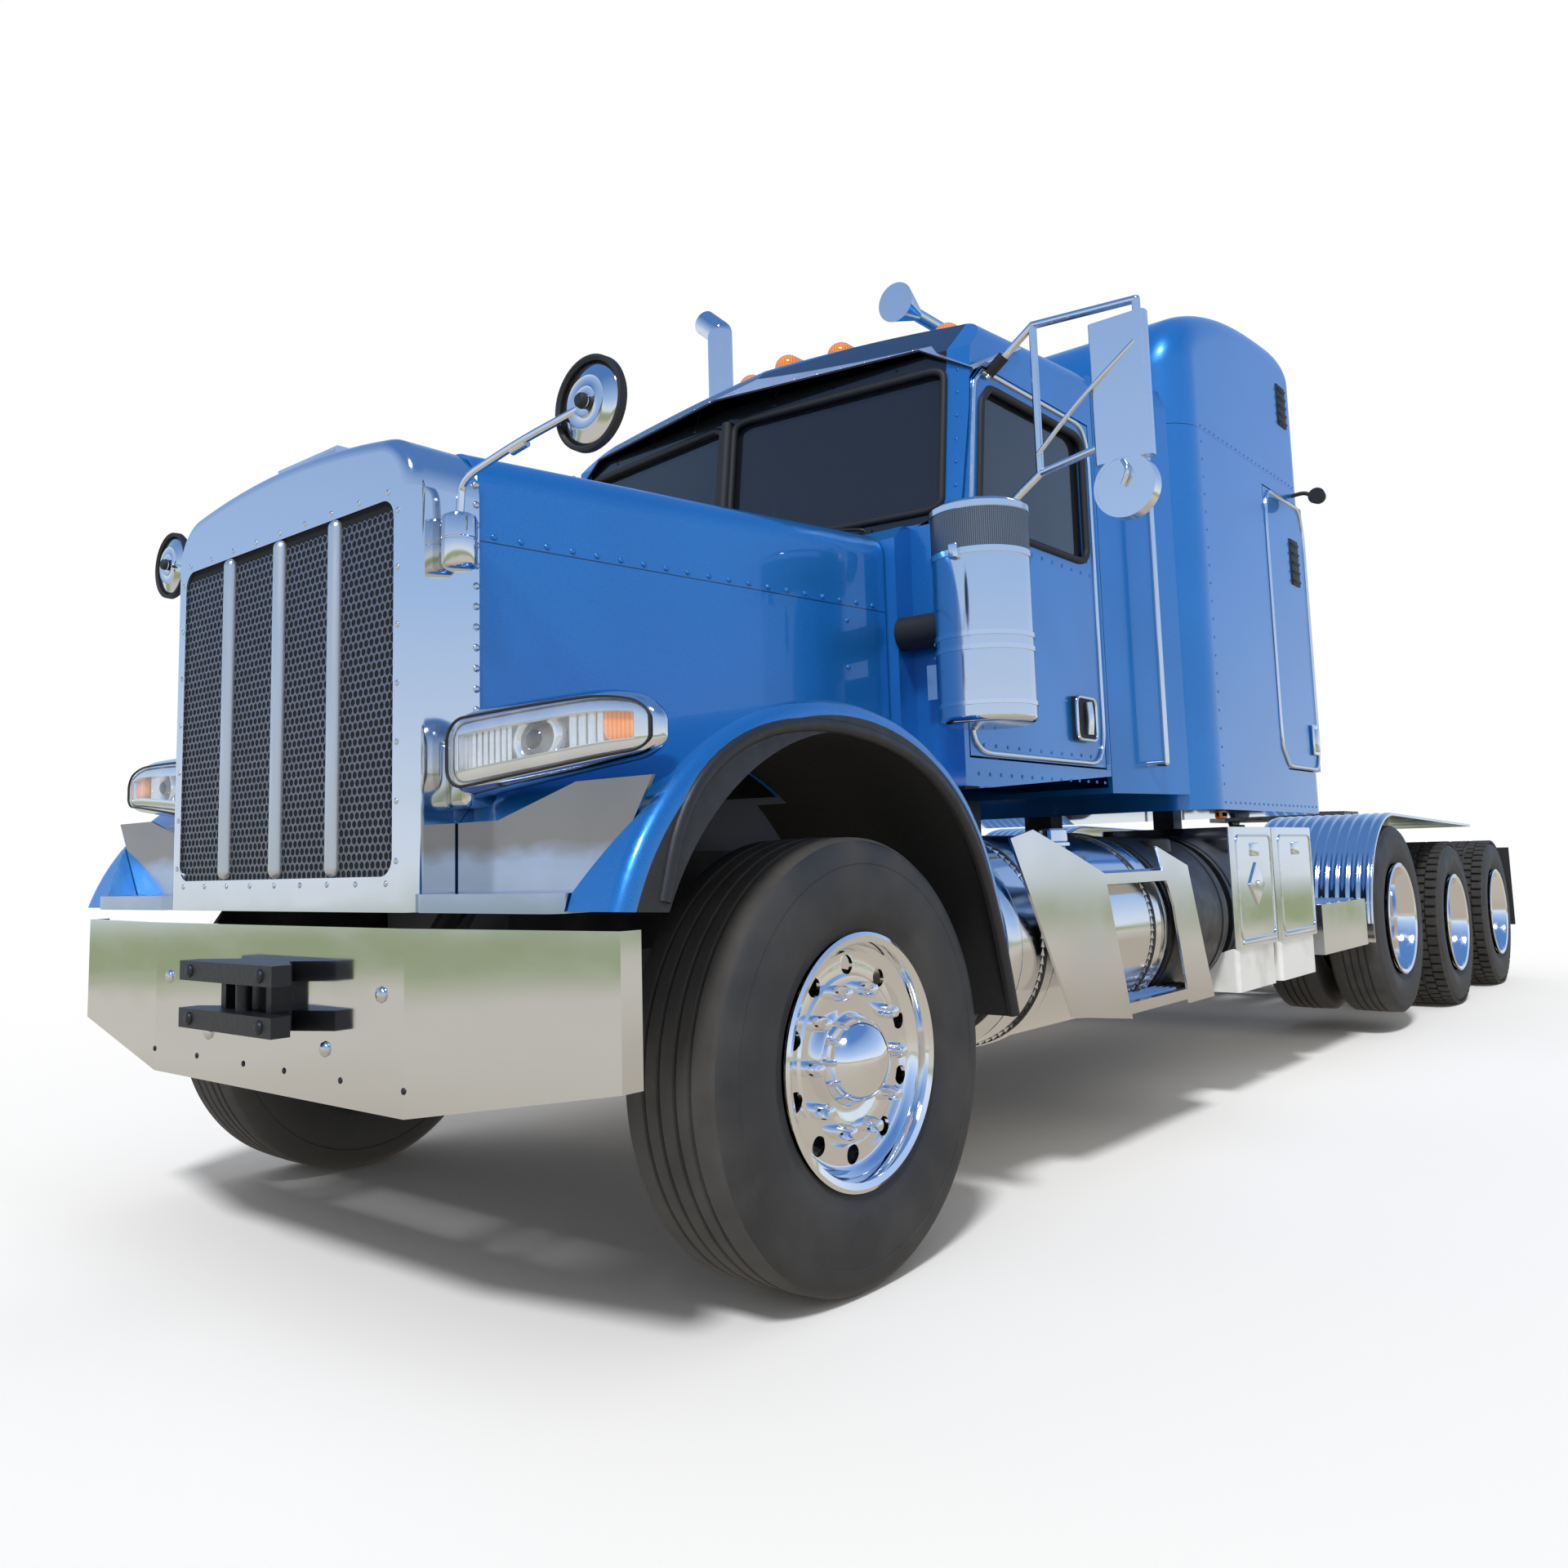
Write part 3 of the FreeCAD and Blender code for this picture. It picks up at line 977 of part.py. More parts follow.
def cab_shell():
    body = cab_solid(0)
    cowl = [(s.hood_rear_y + s.panel_gap, s.cab_low), (s.hood_rear_y + s.panel_gap, s.cowl_top - s.cab_wall),
            (s.screen_low_y, s.cowl_top), (s.cab_front + s.cab_wall, s.cowl_top), (s.cab_front + s.cab_wall, s.cab_low)]
    body = body.fuse(plate_x(cowl, -cowl_half, cowl_half))
    body = body.cut(cab_solid(s.cab_wall))
    body = body.cut(plate_x(door_outline(s.door_gap), -s.cab_half - s.over, s.cab_half + s.over))
    outer = s.cab_half - s.screen_post
    for side in (-1, 1):
        body = body.cut(screen_slab(side * s.screen_edge / 2, side * outer, s.screen_edge, -2 * s.over, s.cab_wall + 4 * s.over))
    return body.removeSplitter()


feature("cab_shell", cab_shell())


def windshield():
    """Two panes, one on each side of the centre post."""
    panes = []
    for side in (-1, 1):
        x0 = side * (s.screen_edge / 2 + s.seal_fit)
        x1 = side * (s.cab_half - s.screen_post - s.seal_fit)
        panes.append(screen_slab(x0, x1, s.screen_edge + s.seal_fit, s.cab_wall / 3, s.glass_wall))
    return Part.makeCompound(panes)


feature("windshield", windshield())


def hinge_barrels(skin_x, edge_y, heights):
    """Slim barrels in the gap ahead of a door's front edge, each with a web to that edge."""
    pin_y = edge_y - s.door_gap / 2
    barrel_dia = s.door_gap - 2 * s.seat_gap
    barrels = []
    for z in heights:
        barrels.append(rod(Vector(skin_x, pin_y, z), Vector(skin_x, pin_y, z + s.barrel_length), barrel_dia))
        barrels.append(box(skin_x - barrel_dia / 2, skin_x, pin_y, edge_y, z, z + s.barrel_length))
    return barrels


for side, word in ((1, "left"), (-1, "right")):
    door = plate_x(door_outline(0), s.cab_half - s.cab_wall, s.cab_half)
    door = door.cut(plate_x(window_outline(), s.cab_half - s.cab_wall - s.over, s.cab_half + s.over))
    handle = box(s.cab_half, s.cab_half + s.tube_dia, s.handle_front, s.handle_rear, s.handle_low, s.handle_high)
    hinge_zs = (s.door_low + s.barrel_length, s.window_low - 2 * s.barrel_length)
    door = join([door, handle] + hinge_barrels(s.cab_half, s.door_front, hinge_zs))
    feature(f"door_{word}", door if side > 0 else mirrored(door))
    pane = plate_x(window_outline(), s.cab_half - s.cab_wall / 2, s.cab_half - s.cab_wall / 2 + s.glass_wall)
    feature(f"door_glass_{word}", pane if side > 0 else mirrored(pane))


def sun_visor():
    """A polished peak over the screen, swept back from its middle and folded down at its ends."""
    sections = []
    end_sweep = s.visor_sweep * visor_half / visor_bend_x
    for x, back, drop in ((-visor_half, end_sweep, s.visor_end_drop), (-visor_bend_x, s.visor_sweep, 0), (0, 0, 0),
                          (visor_bend_x, s.visor_sweep, 0), (visor_half, end_sweep, s.visor_end_drop)):
        fall = s.roof_camber * (x / visor_half) ** 2
        tip = Vector(x, s.visor_tip_y + back, visor_tip_z - drop)
        top = Vector(x, s.visor_top_y + back, visor_top_z - fall - drop * 0.6)
        under = Vector(0, s.visor_wall / 2, -s.visor_wall)
        sections.append(Part.makePolygon([tip, top, top + under, tip + under, tip]))
    return Part.makeLoft(sections, True, True)


cab_full = cab_solid(0)
roof_seat = cab_full.fuse(cab_full.translated(Vector(0, -s.seat_gap, s.seat_gap)))
visor = sun_visor().cut(roof_seat).cut(cab_full.translated(Vector(s.seat_gap, 0, 0))).cut(cab_full.translated(Vector(-s.seat_gap, 0, 0)))
feature("sun_visor", max(visor.Solids, key=lambda solid: solid.Volume))


def roof_lamps():
    """Five bullet lamps across the front of the roof, following its swept front."""
    lamps = []
    r = s.roof_lamp_dia / 2
    for x in (-roof_lamp_outer, -s.roof_lamp_pitch, 0, s.roof_lamp_pitch, roof_lamp_outer):
        y = s.roof_lamp_y + abs(x) * s.visor_sweep / visor_bend_x
        z = roof_front + r - s.roof_camber * (x / s.cab_half) ** 2
        body = Part.makeCylinder(r, r, Vector(x, y, z), Y_AXIS)
        tail = Part.makeCone(r, r / 3, s.roof_lamp_length - r, Vector(x, y + r, z), Y_AXIS)
        lamps.append(join([body, Part.makeSphere(r, Vector(x, y, z)), tail]).cut(roof_seat))
    return Part.makeCompound([max(lamp.Solids, key=lambda solid: solid.Volume) for lamp in lamps])


feature("roof_lamps", roof_lamps())


def air_horn():
    """A single trumpet on a foot, its bell forward."""
    bell_y = s.roof_lamp_y
    r = s.horn_bell_dia / 2
    bell = Part.makeCone(r, r / 3, s.horn_length / 3, Vector(s.horn_x, bell_y, horn_z), Y_AXIS)
    pipe = Part.makeCylinder(r / 3, s.horn_length * 2 / 3, Vector(s.horn_x, bell_y + s.horn_length / 3, horn_z), Y_AXIS)
    foot_low = roof_front - s.roof_camber
    foot = Part.makeCylinder(r / 4, horn_z - foot_low, Vector(s.horn_x, bell_y + s.horn_length * 0.7, foot_low))
    foot = max(foot.cut(roof_seat).Solids, key=lambda solid: solid.BoundBox.ZMax)
    return join([bell, pipe, foot])


feature("air_horn", air_horn())


def cab_interior():
    """Two seats, a dashboard and a steering wheel on its column."""
    floor = s.cab_low + s.cab_floor
    inner = s.cab_half - s.cab_wall - s.over
    dash = box(-inner, inner, s.cab_front + s.cab_wall + s.seat_gap, s.door_front + 5 * s.window_edge, s.window_low - 5 * s.window_edge,
               s.window_low - s.window_edge)
    legs = box(-s.window_edge, s.window_edge, s.cab_front + s.cab_wall + s.seat_gap, s.door_front + 3 * s.window_edge, floor,
               s.window_low - 5 * s.window_edge)
    seat_x = s.cab_half * 0.52
    column_end = Vector(seat_x, s.door_front + 8 * s.window_edge, s.window_low - s.window_edge / 2)
    column = rod(Vector(seat_x, s.door_front + 4 * s.window_edge, s.window_low - 3 * s.window_edge), column_end, s.tube_dia * 2)
    wheel = Part.makeTorus(s.hub_cap_dia, s.tube_dia * 0.7, column_end, Vector(0, 1, 0.55))
    spoke = rod(column_end - Vector(s.hub_cap_dia, 0, 0), column_end + Vector(s.hub_cap_dia, 0, 0), s.tube_dia)
    pieces = [join([dash, legs, column, wheel, spoke])]
    seat_low = floor + 4 * s.window_edge
    seat_rear = s.door_rear - s.window_edge
    seat_half = s.cab_half / 4
    for side in (-1, 1):
        x0, x1 = side * seat_x - seat_half, side * seat_x + seat_half
        cushion = box(x0, x1, seat_rear - 8 * s.window_edge, seat_rear, seat_low, seat_low + 2 * s.window_edge)
        back = box(x0, x1, seat_rear - 2 * s.window_edge, seat_rear, seat_low, seat_low + 12 * s.window_edge)
        post = box(side * seat_x - seat_half / 2, side * seat_x + seat_half / 2, seat_rear - 6 * s.window_edge,
                   seat_rear - 2 * s.window_edge, floor, seat_low)
        pieces.append(join([cushion, back, post]))
    return Part.makeCompound(pieces)


feature("cab_interior", cab_interior())

# Sleeper: a hollow box with rounded upright front corners, a roof that rises rearward and two side hatches
roof_rise = sleeper_high - fairing_high


def sleeper_side(inset):
    front, rear = s.sleeper_front + inset, s.sleeper_rear - inset
    length = s.sleeper_rear - s.sleeper_front
    roof_shares = ((0.0, 0.05), (0.06, 0.42), (0.2, 0.68), (0.45, 0.9), (0.75, 1.0), (0.92, 0.95), (1.0, 0.72))
    top = [(s.sleeper_front + y * length, fairing_high + z * roof_rise) for y, z in roof_shares]
    curve = Part.BSplineCurve()
    points = [Vector(0, min(max(y, front), rear), z - inset) for y, z in top]
    curve.interpolate(points)
    low = s.sleeper_low + inset
    edges = [curve.toShape(), Part.LineSegment(points[-1], Vector(0, rear, low)).toShape(),
             Part.LineSegment(Vector(0, rear, low), Vector(0, front, low)).toShape(),
             Part.LineSegment(Vector(0, front, low), points[0]).toShape()]
    return Part.Wire(edges)


def sleeper_solid(inset):
    half = s.sleeper_half - inset
    face = Part.Face(sleeper_side(inset))
    face.translate(Vector(-half, 0, 0))
    body = face.extrude(Vector(2 * half, 0, 0))
    reach = sleeper_high + s.over
    corner = s.sleeper_corner - inset
    column = upright_box(-half, half, s.sleeper_front + inset, s.sleeper_rear - inset, s.sleeper_low - s.over, reach, corner)
    body = body.common(column)
    return rounded(body, s.sleeper_brow - inset, lambda e: e.BoundBox.ZMin > fairing_high - inset and not runs_along(e, Z_AXIS))


def hatch_outline(grow):
    c = s.hatch_corner
    return [(s.hatch_front - grow, s.hatch_low + c), (s.hatch_front + c, s.hatch_low - grow), (s.hatch_rear + grow, s.hatch_low - grow),
            (s.hatch_rear + grow, s.hatch_high + grow), (s.hatch_front - grow, s.hatch_high + grow)]


def sleeper_shell():
    body = sleeper_solid(0).cut(sleeper_solid(s.sleeper_wall))
    body = body.cut(plate_x(hatch_outline(s.door_gap), -s.sleeper_half - s.over, s.sleeper_half + s.over))
    pass_half = s.cab_half * 0.55
    body = body.cut(box(-pass_half, pass_half, s.sleeper_front - s.over, s.sleeper_front + s.sleeper_wall + s.over,
                        s.cab_low + s.cab_floor + s.cab_wall, screen_high))
    return body


feature("sleeper_shell", sleeper_shell())


def fairing_body(inset, over):
    """Loft from the cab's back outline to a wider one at the sleeper."""
    low = s.fairing_low + inset
    corner = s.roof_corner
    sections = []
    for y, half, high in ((s.cab_rear + s.panel_gap - over, s.cab_half - inset, s.cab_roof - inset),
                          (s.sleeper_front - s.panel_gap + over, s.sleeper_half - s.grab_stand - inset, fairing_high - inset)):
        edge = high - s.roof_camber
        sections.append(Part.makePolygon([Vector(half, y, low), Vector(half, y, edge - corner), Vector(half - corner / 4, y, edge - corner / 4),
                                          Vector(half - corner, y, edge), Vector(half / 2, y, high - s.roof_camber / 4), Vector(0, y, high),
                                          Vector(-half / 2, y, high - s.roof_camber / 4), Vector(corner - half, y, edge),
                                          Vector(corner / 4 - half, y, edge - corner / 4), Vector(-half, y, edge - corner),
                                          Vector(-half, y, low), Vector(half, y, low)]))
    return Part.makeLoft(sections, True, True)


def sleeper_fairing():
    """A tapered collar that fills the gap between cab and sleeper, with an upright grab bar on the left."""
    wall = s.sleeper_wall / 2
    body = fairing_body(0, 0).cut(fairing_body(wall, s.over))
    skin = s.cab_half + collar_taper * (s.grab_y - collar_front)
    x = skin + s.grab_stand
    foot = skin - wall / 2
    bar = bent_tube([Vector(foot, s.grab_y, s.grab_high), Vector(x, s.grab_y, s.grab_high),
                     Vector(x, s.grab_y, s.grab_low), Vector(foot, s.grab_y, s.grab_low)], s.mirror_tube)
    return join([body, bar])


feature("sleeper_fairing", sleeper_fairing())

for side, word in ((1, "left"), (-1, "right")):
    hatch = plate_x(hatch_outline(0), s.sleeper_half - s.sleeper_wall, s.sleeper_half)
    grip = box(s.sleeper_half, s.sleeper_half + s.tube_dia / 2, s.hatch_rear - s.hatch_corner * 1.2, s.hatch_rear - s.hatch_corner * 0.5,
               s.hatch_low + s.hatch_corner, s.hatch_low + s.hatch_corner * 2.4)
    hinge_zs = (s.hatch_low + 2 * s.barrel_length, s.hatch_high - 2 * s.barrel_length)
    hatch = join([hatch, grip] + hinge_barrels(s.sleeper_half, s.hatch_front, hinge_zs))
    feature(f"luggage_door_{word}", hatch if side > 0 else mirrored(hatch))


# Mirrors: a tube loop that stands out from the door, with a flat head and a round wide-angle mirror
def door_mirror():
    y = s.mirror_y
    root = s.cab_half - s.cab_wall / 2
    high_root = Vector(root, y, door_high - s.window_edge / 2)
    top_in = Vector(mirror_inner_x, y, mirror_top)
    top_out = Vector(mirror_outer_x, y, mirror_top - s.mirror_tube)
    low_out = Vector(mirror_outer_x, y, s.mirror_low + s.window_edge)
    low_in = Vector(mirror_inner_x, y, s.mirror_low)
    low_root = Vector(root, y - s.window_edge, s.window_low - s.window_edge / 2)
    pieces = [bent_tube([high_root, top_in, top_out, low_out, low_in, low_root], s.mirror_tube),
              rod(top_in, low_in, s.mirror_tube)]
    head_x = mirror_head_x
    pieces.append(upright_box(head_x - s.mirror_head_width / 2, head_x + s.mirror_head_width / 2, y - s.mirror_head_wall / 2,
                              y + s.mirror_head_wall / 2, s.mirror_head_low, mirror_head_high, s.mirror_head_wall / 3))
    pieces.append(Part.makeCylinder(s.convex_dia / 2, s.mirror_head_wall, Vector(head_x, y - s.mirror_head_wall / 2, s.convex_z), Y_AXIS))
    pieces.append(rod(Vector(head_x, y, s.convex_z), Vector(head_x, y, s.mirror_head_low), s.mirror_tube))
    return join(pieces)


for side, word in ((1, "left"), (-1, "right")):
    mirror_piece = door_mirror().cut(plate_x(door_outline(0), s.cab_half - s.cab_wall, s.cab_half))
    biggest = max(mirror_piece.Solids, key=lambda solid: solid.Volume)
    feature(f"door_mirror_{word}", biggest if side > 0 else mirrored(biggest))


def air_cleaner():
    """A capped canister on a bracket, with a short elbow into the cowl."""
    r = s.cleaner_dia / 2
    base = Vector(s.cleaner_x, s.cleaner_y, s.cleaner_low)
    can = Part.makeCylinder(r, s.cleaner_high - s.cleaner_low, base)
    rim = can.makeFillet(r / 8, [e for e in can.Edges if isinstance(e.Curve, Part.Circle)])
    mid_z = (s.cleaner_low + s.cleaner_high) / 2
    elbow_y = s.cab_front - s.cleaner_elbow / 2 - s.panel_gap
    elbow = rod(Vector(s.cleaner_x, elbow_y, mid_z), Vector(cowl_half + s.seat_gap, elbow_y, mid_z), s.cleaner_elbow)
    arm_y = s.cab_front
    arm = box(s.cab_half - s.cab_wall * 2, s.cleaner_x, arm_y - s.cab_wall, arm_y - s.seat_gap, s.cleaner_low + s.cleaner_elbow,
              s.cleaner_low + 2 * s.cleaner_elbow)
    return join([rim, elbow, arm])


feature("air_cleaners", both(air_cleaner()))


def exhaust_stack():
    """One tall pipe on the right with a swept tip, a wider guard, wall brackets and an elbow under the cab."""
    low = Vector(stack_x, s.stack_y, s.stack_elbow_z)
    tip_base = Vector(stack_x, s.stack_y, s.stack_high - s.stack_dia)
    pipe = rod(low, tip_base, s.stack_dia)
    tip = rod(tip_base, tip_base + Vector(-s.stack_dia * 0.8, 0, s.stack_dia * 0.7), s.stack_dia)
    guard = Part.makeCylinder(s.guard_dia / 2, s.cab_roof - s.cab_edge - s.guard_low, Vector(stack_x, s.stack_y, s.guard_low))
    under = rod(low, Vector(-s.stack_root_x, s.stack_y, s.stack_elbow_z), s.stack_elbow_dia)
    saddle = box(-s.rail_outer, -s.stack_root_x, s.stack_y - s.stack_elbow_dia / 2, s.stack_y + s.stack_elbow_dia / 2,
                 s.rail_top, s.stack_elbow_z)
    knee = Part.makeSphere(s.stack_dia / 2, low)
    pieces = [pipe, Part.makeSphere(s.stack_dia / 2, tip_base), tip, guard, under, saddle, knee]
    for z in (s.guard_low + s.guard_dia, s.cab_roof - s.cab_edge - s.guard_dia):
        arm = box(stack_x, -s.cab_half, s.stack_y - s.stack_elbow_dia / 4, s.stack_y + s.stack_elbow_dia / 4, z, z + s.stack_elbow_dia)
        pieces.append(arm.cut(fairing_body(-s.seat_gap, 0)))
    return join(pieces)


feature("exhaust_stack", exhaust_stack())


# Tanks and steps along both sides
def fuel_tank():
    r = s.tank_dia / 2
    end = s.tank_dome
    body = Part.makeCylinder(r, s.tank_rear - s.tank_front, Vector(s.tank_x, s.tank_front, s.tank_z), Y_AXIS)
    body = body.makeFillet(end, [e for e in body.Edges if isinstance(e.Curve, Part.Circle)])
    pieces = [body]
    for y in (s.strap_y, s.tank_rear - (s.strap_y - s.tank_front)):
        pieces.append(Part.makeCylinder(r + s.strap_wall, s.strap_width, Vector(s.tank_x, y, s.tank_z), Y_AXIS))
        pieces.append(box(s.rail_outer + s.seat_gap, s.tank_x, y, y + s.strap_width, rail_low, rail_low + s.strap_width * 2))
    return join(pieces)


feature("fuel_tanks", both(fuel_tank()))


def tank_step():
    """Two treads between shaped side plates, outside the tank."""
    x1 = s.side_face + s.step_plate
    tank_front, span = s.tank_front, s.tank_rear - s.tank_front
    def side_plate(shares):
        return [(tank_front + y * span, s.lower_step + z * (s.upper_step - s.lower_step)) for y, z in shares]
    front_plate_shares = ((-0.04, 1.27), (0.08, 1.33), (0.30, 1.16), (0.49, 1.0), (0.62, -0.12), (0.25, 0.0))
    rear_plate_shares = ((0.86, 1.2), (1.1, 1.03), (1.26, -0.12), (1.05, -0.12), (0.97, 0.7))
    pieces = [plate_x(side_plate(front_plate_shares), s.side_face, x1), plate_x(side_plate(rear_plate_shares), s.side_face, x1)]
    tread_start = tank_front + span * 0.3
    pieces.append(box(s.side_face - s.step_depth, x1, tread_start + span * 0.17, tank_front + span * 1.1, s.upper_step - s.step_wall, s.upper_step))
    pieces.append(box(s.side_face - s.step_depth, x1, tread_start + span * 0.3, tank_front + span * 1.22, s.lower_step - s.step_wall, s.lower_step))
    step = join(pieces)
    return step.cut(Part.makeCylinder(s.tank_dia / 2 + s.strap_wall + s.seat_gap, s.tank_rear, Vector(s.tank_x, 0, s.tank_z), Y_AXIS))


feature("tank_steps", both(tank_step()))


def side_cover():
    """A dark rounded cover behind the tank."""
    r = s.tank_dia / 2
    body = Part.makeCylinder(r - s.strap_wall, s.cover_rear - s.cover_front, Vector(s.tank_x, s.cover_front, s.tank_z), Y_AXIS)
    filler = box(s.rail_outer + s.seat_gap, s.tank_x, s.cover_front, s.cover_rear, rail_low, s.rail_top)
    cut_steps = Part.makeCompound([tank_step()])
    return join([body, filler]).cut(cut_steps)


feature("side_covers", both(max(side_cover().Solids, key=lambda solid: solid.Volume)))


def tool_boxes():
    """Two polished boxes side by side with a pair of shallow boxes hung below them."""
    pieces = []
    inner = s.rail_outer + s.seat_gap
    for y0, y1 in ((s.box_front, box_split - s.box_gap / 2), (box_split + s.box_gap / 2, box_rear)):
        upper = upright_box(s.side_face - s.box_depth, s.side_face, y0, y1, s.box_low, s.box_high, s.tube_dia)
        lower = upright_box(s.side_face - s.box_depth, s.side_face - s.step_plate, y0, y1 - s.box_gap, s.under_box_low, s.box_low, s.tube_dia)
        hanger = box(inner, s.side_face - s.box_depth, y0 + s.box_gap, y1 - s.box_gap, rail_low, s.rail_top)
        pieces.append(join([upper, lower, hanger]))
    return Part.makeCompound(pieces)


feature("tool_boxes", both(tool_boxes()))


step_box = block(("side_face - box_depth", "side_face"), ("step_box_front", "step_box_rear"),
                 ("step_box_low", "step_box_high"))
step_hanger = block(("rail_outer + seat_gap", "side_face - box_depth"),
                    ("step_box_front + box_gap", "step_box_rear - box_gap"),
                    ("step_box_low", "rail_top - rail_height + rail_flange"))
keep(on_both_sides(fused(step_box, step_hanger)), "step_boxes")


# Quarter fenders over the pusher wheels, with long flat tails
def quarter_fender():
    name, hub_y, hub_z = wheel_rows[0]
    r_in = s.drive_tyre_dia / 2 + s.quarter_clear
    r_out = r_in + s.quarter_wall
    x0, x1 = s.quarter_inner, s.quarter_outer
    ring = Part.makeCylinder(r_out, x1 - x0, Vector(x0, hub_y, hub_z), X_AXIS)
    ring = ring.cut(Part.makeCylinder(r_in, x1 - x0 + 2 * s.over, Vector(x0 - s.over, hub_y, hub_z), X_AXIS))
    low = hub_z - s.lift_height
    ring = ring.common(box(x0, x1, hub_y - r_out - s.over, hub_y, low, hub_z + r_out + s.over))
    drop = s.quarter_clear
    tail_z = hub_z + r_in
    tail = plate_x([(hub_y, tail_z), (hub_y, tail_z + s.quarter_wall), (s.quarter_tail, tail_z - drop + s.quarter_wall),
                    (s.quarter_tail, tail_z - drop)], x0, x1)
    pieces = [ring, tail]
    for y in (hub_y - r_in * 0.62, hub_y + s.axle_spacing * 0.75, s.quarter_tail - s.axle_spacing / 4):
        if y < hub_y:
            z = hub_z + math.sqrt(r_in ** 2 - (hub_y - y) ** 2)
        else:
            z = tail_z - drop * (y - hub_y) / (s.quarter_tail - hub_y)
        z_tube = min(z, s.rail_top - s.bead_tube)
        pieces.append(rod(Vector(s.rail_outer + s.seat_gap, y, z_tube), Vector(x0 + s.bead_tube, y, z_tube), s.bead_tube))
        pieces.append(rod(Vector(x0 + s.bead_tube, y, z_tube), Vector(x0 + s.bead_tube, y, z + s.quarter_wall / 2), s.bead_tube))
    return join(pieces)


feature("quarter_fenders", both(quarter_fender()))


hanger_y = "last_axle_y + frame_tail - rail_flange"
flap = block(("quarter_inner", "quarter_outer"), ("flap_y", "flap_y + flap_wall"), ("flap_low", "flap_high"))
flap_bar = bar(("rail_outer + seat_gap", "quarter_inner + bead_tube"), hanger_y, "flap_high - bead_tube",
               "bead_tube * 2")
flap_arm = block(("quarter_inner", "quarter_inner + 2 * bead_tube"), (hanger_y, "flap_y + flap_wall"),
                 ("flap_high - 2 * bead_tube", "flap_high"))
keep(on_both_sides(fused(flap, flap_bar, flap_arm)), "mud_flaps")


# Fifth wheel: a base that spans the rails and a coupling plate that rocks on it
def fifth_wheel_base():
    plate = block(("-rail_outer", "rail_outer"), ("fifth_y - fifth_length / 3", "fifth_y + fifth_length / 3"),
                  ("rail_top", "rail_top + quarter_wall * 3"))
    bracket = "rail_outer - fifth_bracket"
    foot, pin_z = "rail_top + quarter_wall * 2", "fifth_pivot + fifth_pin_dia / 3"
    side_view = [("fifth_y - fifth_bracket * 2", foot), ("fifth_y + fifth_bracket * 2", foot),
                 ("fifth_y + fifth_pin_dia / 2", pin_z), ("fifth_y - fifth_pin_dia / 2", pin_z)]
    left = [slab(side_view, (f"{bracket} - fifth_bracket / 2", bracket)),
            bar((f"{bracket} - fifth_bracket / 2", f"{bracket} + fifth_bracket / 2"), "fifth_y", "fifth_pivot",
                "fifth_pin_dia / 2")]
    return fused(plate, *left, *[other_hand(piece) for piece in left])


keep(fifth_wheel_base(), "fifth_wheel_base")


def fifth_wheel_plate():
    half_x, half_y = s.fifth_half, s.fifth_length / 2
    low = s.fifth_top - s.fifth_wall
    rear = s.fifth_y + half_y
    nose = s.fifth_y - half_y
    outline = [(-half_x * 0.55, nose), (half_x * 0.55, nose), (half_x, nose + half_y * 0.6), (half_x, s.fifth_y + half_y * 0.35),
               (s.throat_mouth / 2, rear), (-s.throat_mouth / 2, rear), (-half_x, s.fifth_y + half_y * 0.35), (-half_x, nose + half_y * 0.6)]
    plate = plate_z(outline, low, s.fifth_top)
    bore_r = s.kingpin_bore / 2
    plate = plate.cut(Part.makeCylinder(bore_r, s.fifth_wall * 3, Vector(0, s.fifth_y, low - s.fifth_wall)))
    throat = [(-bore_r, s.fifth_y), (bore_r, s.fifth_y), (s.throat_mouth / 4, rear + s.over), (-s.throat_mouth / 4, rear + s.over)]
    plate = plate.cut(plate_z(throat, low - s.fifth_wall, s.fifth_top + s.over))
    pieces = [plate]
    bracket_x = s.rail_outer - s.fifth_bracket + s.panel_gap
    for side in (-1, 1):
        x0, x1 = side * bracket_x, side * (bracket_x + s.fifth_bracket / 2 - s.panel_gap * 2)
        ear = [(s.fifth_y - s.fifth_bracket, low + s.panel_gap), (s.fifth_y + s.fifth_bracket, low + s.panel_gap),
               (s.fifth_y + s.fifth_pin_dia / 2, s.fifth_pivot - s.fifth_pin_dia / 2),
               (s.fifth_y - s.fifth_pin_dia / 2, s.fifth_pivot - s.fifth_pin_dia / 2)]
        lug = plate_x(ear, x0, x1)
        pieces.append(lug.cut(rod(Vector(x0 - side * s.over, s.fifth_y, s.fifth_pivot), Vector(x1 + side * s.over, s.fifth_y, s.fifth_pivot),
                                  s.fifth_pin_dia / 2 + 2 * s.axle_fit)))
    return join(pieces)


feature("fifth_wheel_plate", fifth_wheel_plate())

doc.recompute()
os.makedirs("parts", exist_ok=True)
for obj in doc.Objects:
    if "Invalid" in obj.State or "Error" in obj.State:
        raise RuntimeError(f"{obj.Label} failed: {obj.State}")
for obj in sub_parts:
    if obj.Shape.isNull() or not obj.Shape.isValid():
        raise RuntimeError(f"{obj.Label} has no valid shape")
for obj in sub_parts:
    obj.Shape.exportStep(f"parts/{obj.Label}.step")
    bounds = obj.Shape.BoundBox
    print(f"{obj.Label:24s} solids {len(obj.Shape.Solids)} x {bounds.XMin:7.0f} {bounds.XMax:7.0f} "
          f"y {bounds.YMin:7.0f} {bounds.YMax:7.0f} z {bounds.ZMin:7.0f} {bounds.ZMax:7.0f}")
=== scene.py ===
import bpy
from math import atan2, cos, pi, radians, sin, sqrt, tau
from mathutils import Matrix, Vector


